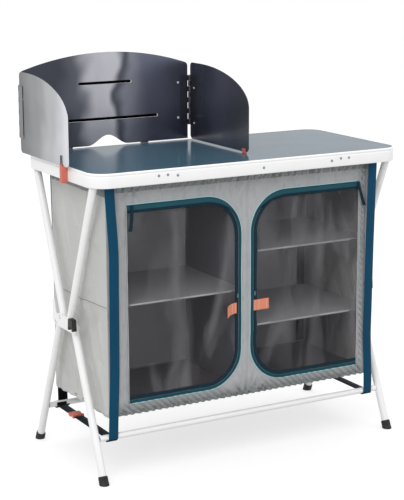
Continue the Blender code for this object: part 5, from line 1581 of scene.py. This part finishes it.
@dataclass
class Straps:
    """The webbing: straps from the rails round the stretchers, and the tie straps with their buckles.

    A cross tube is given as its place along Y, its height and its radius, and a front strap's bow as heights
    with how far the strap is moved along X there. A strap starts and stops at these degrees round the tubes.
    """

    x: float = 0.398
    width: float = 0.0265
    thickness: float = 0.0015
    left_bow: tuple = ((0.09, 0.003), (0.30, 0.007), (0.56, 0.006), (0.79, -0.007))
    right_bow: tuple = ((0.11, 0.0), (0.30, -0.009), (0.55, -0.011), (0.79, -0.0105))
    rail: tuple = (0.17677, 0.7692, 0.0103)
    stretcher: tuple = (0.15954, 0.107, 0.0083)
    rear_inset: float = 0.012
    start: float = 50.0
    stop: float = 340.0
    sleeve_top: float = 0.172
    buckle_y: float = 0.056
    buckle_length: float = 0.034
    keep: float = 0.24
    tie_keep: float = 0.3

    def belt(self, away: int) -> list[tuple[Point, Point]]:
        """A strap's flat line, over the rail, down and round the stretcher, with its outward ways."""
        upper, lower = Vector(self.rail[:2]), Vector(self.stretcher[:2])
        upper_radius, lower_radius = self.rail[2], self.stretcher[2]
        down = lower - upper
        way = down.normalized()
        out = Vector((-way.y, way.x)) if -way.y > 0 else Vector((way.y, -way.x))
        lean = (upper_radius - lower_radius) / down.length
        normal = way * lean + out * math.sqrt(1 - lean**2)
        flat = math.degrees(math.atan2(normal.y, normal.x))
        over, under = (
            [(middle + Vector(a) * radius, Vector(a)) for a in arc((0.0, 0.0), 1.0, *turn)]
            for middle, radius, turn in ((upper, upper_radius, (180 - self.start, flat, 20)),
                                         (lower, lower_radius, (flat, 180 - self.stop, 24))))
        between = [(over[-1][0].lerp(under[0][0], i / 48), normal) for i in range(1, 48)]
        return [((away * p.x, p.y), (away * a.x, a.y)) for p, a in over + between + under]

    def bow(self, side: Side, end: End, height: float) -> float:
        """How far a strap is moved sideways at a height."""
        if end is End.REAR:
            return -side.value * self.rear_inset
        stops = self.left_bow if side is Side.LEFT else self.right_bow
        shift = stops[0][1]
        for (low, before), (high, after) in zip(stops, stops[1:]):
            shift += (after - before) * smooth((height - low) / (high - low))
        return shift

    def build(self) -> None:
        """Builds and dresses the straps."""
        for side in Side:
            for end in End:
                name, flat = f"{end.label}_strap_{side.label}", self.belt(end.value)
                line = [Vector((side.value * self.x + self.bow(side, end, z), y, z)) for (y, z), _ in flat]
                ways = [Vector((0.0, *way)) for _, way in flat]
                form = Form.sweep(tape(self.width, self.thickness), stations(line, ways))
                show(f"webbing_{name}", form, TEAL_STRAP, KNEES, name, keep=self.keep)
                if end is End.REAR:
                    held = [i for i, point in enumerate(line) if point.z < self.sleeve_top and ways[i].y > 0]
                    places = stations([line[i] for i in held], [ways[i] for i in held])
                    form = Form.sweep(tape(self.width + 0.0016, self.thickness + 0.0014), places)
                    show(f"strap_sleeve_{side.label}", form, BLACK_STRAP, KNEES, keep=self.keep)
                self.build_loop(end, side)
            self.build_tie(side)

    def build_loop(self, end: End, side: Side) -> None:
        """A black webbing loop round the strap's foot and the stretcher."""
        centre, radius = self.stretcher[:2], self.stretcher[2] + self.thickness + 0.0003
        start, stop = (-35, -200) if end is End.FRONT else (30, -215)
        outline = arc(centre, radius, start, stop, 26) + arc(centre, radius + 0.0014, stop, start, 26)
        middle, half = side.value * self.x, self.width / 2 + 0.0008
        form = Form.plate([(end.value * y, z) for y, z in outline], Axis.X, middle - half, middle + half, 0.0004)
        show(f"stretcher_loop_{end.label}_{side.label}", form, BLACK_STRAP, f"{end.label}_lower", even=True)

    def build_tie(self, side: Side) -> None:
        """A tie strap between the stretchers, and its buckle."""
        angle = math.radians(self.stop)
        level = self.stretcher[1] + self.stretcher[2] * math.sin(angle)
        reach = self.stretcher[0] - (self.stretcher[2] + self.thickness) * math.cos(angle) - 0.0003
        flat = straight((-reach, level - self.thickness / 2), (reach, level - self.thickness / 2), 80)
        line = [Vector((side.value * self.x, *point)) for point in flat]
        form = Form.sweep(tape(self.width, self.thickness), stations(line, repeat(UP)))
        show(f"tie_webbing_{side.label}", form, NAVY_STRAP, KNEES, f"tie_strap_{side.label}", keep=self.tie_keep)
        self.build_buckle(side, level)

    def build_buckle(self, side: Side, level: float) -> None:
        """A side-release buckle on the tie strap."""
        x, half, name = side.value * self.x, self.width / 2 + 0.0033, f"buckle_{side.label}"
        front, rear = self.buckle_y - self.buckle_length / 2, self.buckle_y + self.buckle_length / 2
        waist = half - 0.003
        outline = [(half, front), (half, front + 0.006), (waist, front + 0.009), (waist, front + 0.017),
                   (half, front + 0.020), (half, rear - 0.004), (waist, rear)]
        flat = [(x + a, b) for a, b in outline] + [(x - a, b) for a, b in outline[::-1]]
        form = Form.plate(flat, Axis.Z, level - 0.0045, level + 0.0045, 0.0012, segments=3)
        for inset, low, high, radius, steps, thick, bevel in (
                (0.007, front + 0.005, rear - 0.006, 0.003, 4, 0.0052, 0.0008),
                (0.002, rear - 0.001, rear + 0.003, 0.0015, 3, 0.003, 0.0006)):
            outline = rounded((x - half + inset, low), (x + half - inset, high), [radius] * 4, steps)
            form.add(Form.plate(outline, Axis.Z, level - thick, level + thick, bevel))
        show(f"release_{name}", form, CORAL_PLASTIC, "tie_buckles", f"tie_{name}", even=True)


# The studio


@dataclass
class Studio:
    """The camera at the photograph's place, a pale floor, plain soft light and a white background.

    A lamp is given as its name, place, the point that it aims at, its size and its power.
    """

    place: tuple = (-1.97702, -3.46670, 1.40235)
    turned: float = math.radians(29.206)
    down: float = math.radians(12.411)
    tilt: float = math.radians(-0.236)
    lens: float = 107.917
    sky: float = 0.86
    floor_radius: float = 14.0
    floor_tone: float = 0.46
    floor_glow: Point = (0.62, 0.10)
    lamps: tuple = (("key", (-3.2, -2.6, 3.0), (0, 0, 0.5), 2.6, 62.0),
                    ("fill", (2.8, -3.4, 2.2), (0, 0, 0.5), 3.0, 14.0),
                    ("top", (0.2, 0.4, 4.0), (0, 0, 0.6), 3.0, 26.0))

    def build_camera(self) -> None:
        """Places the camera."""
        ahead = Vector((math.sin(self.turned) * math.cos(self.down),
                        math.cos(self.turned) * math.cos(self.down), -math.sin(self.down)))
        right = Vector((math.cos(self.turned), -math.sin(self.turned), 0.0))
        up = right.cross(ahead)
        sideways = right * math.cos(self.tilt) + up * math.sin(self.tilt)
        upright = -right * math.sin(self.tilt) + up * math.cos(self.tilt)
        data = bpy.data.cameras.new("camera")
        data.sensor_width = 36.0
        data.sensor_fit = "AUTO"
        data.lens = self.lens
        data.clip_end = 60.0
        camera = placed("camera", data)
        turn = Matrix((sideways, upright, -ahead)).transposed().to_4x4()
        camera.matrix_world = Matrix.Translation(self.place) @ turn
        bpy.context.scene.camera = camera

    def build_light(self) -> None:
        """Adds the lamps and the world, which is a little darker where the camera doesn't see it."""
        for name, spot, aim, size, power in self.lamps:
            data = bpy.data.lights.new(name, "AREA")
            data.shape = "DISK"
            data.size = size
            data.energy = power
            lamp = placed(name, data)
            lamp.location = spot
            lamp.rotation_mode = "QUATERNION"
            lamp.rotation_quaternion = (Vector(aim) - Vector(spot)).to_track_quat("-Z", "Y")
        scene, world = bpy.context.scene, bpy.data.worlds.new("studio")
        world.use_nodes = True
        nodes = Nodes(world.node_tree)
        ray = nodes.node("ShaderNodeLightPath", {}, {}).outputs
        mirrored = nodes.math("MAXIMUM", ray["Is Glossy Ray"], ray["Is Transmission Ray"])
        seen = nodes.math("MAXIMUM", ray["Is Camera Ray"], mirrored)
        strength = nodes.node("ShaderNodeMapRange", {}, {"To Min": self.sky, "To Max": 1.0, "Value": seen})
        values = {"Strength": strength.outputs[0], "Color": (1.0, 1.0, 1.0, 1.0)}
        nodes.feed(world.node_tree.nodes["Background"], values)
        scene.world = world
        scene.view_settings.view_transform = "Standard"

    def build_floor(self) -> None:
        """Adds the pale floor, which keeps the unit's soft shadow and is white further out."""
        form = Form()
        bmesh.ops.create_circle(form.mesh, cap_ends=True, segments=96, radius=self.floor_radius)
        mesh = form.moved(Matrix.Translation((0, 0, -0.0004))).cast("floor")
        tone, seen, lit = ((grey, grey, grey, 1.0) for grey in (self.floor_tone, *self.floor_glow))
        shader = Shader("pale_floor", {"Base Color": tone, "Roughness": 0.9, "Specular IOR Level": 0.0,
                                       "Emission Strength": 1.0})
        bounced = shader.node("ShaderNodeLightPath", {}, {}).outputs["Is Diffuse Ray"]
        shader.feed(shader.surface, {"Emission Color": shader.mix(bounced, seen, lit)})
        mesh.materials.append(shader.material)
        placed("floor", mesh)

    def build(self) -> None:
        """Builds the studio."""
        self.build_camera()
        self.build_light()
        self.build_floor()


def main() -> None:
    """Builds the studio and every sub-assembly."""
    logging.basicConfig(level=logging.INFO, format="%(message)s")
    Studio().build()
    cupboard = Cupboard()
    for part in (Worktop(), Windscreen(), LegFrame(), cupboard, Straps()):
        part.build()
    for side in Side:
        Door(cupboard, side).build()


if __name__ == "__main__":
    main()
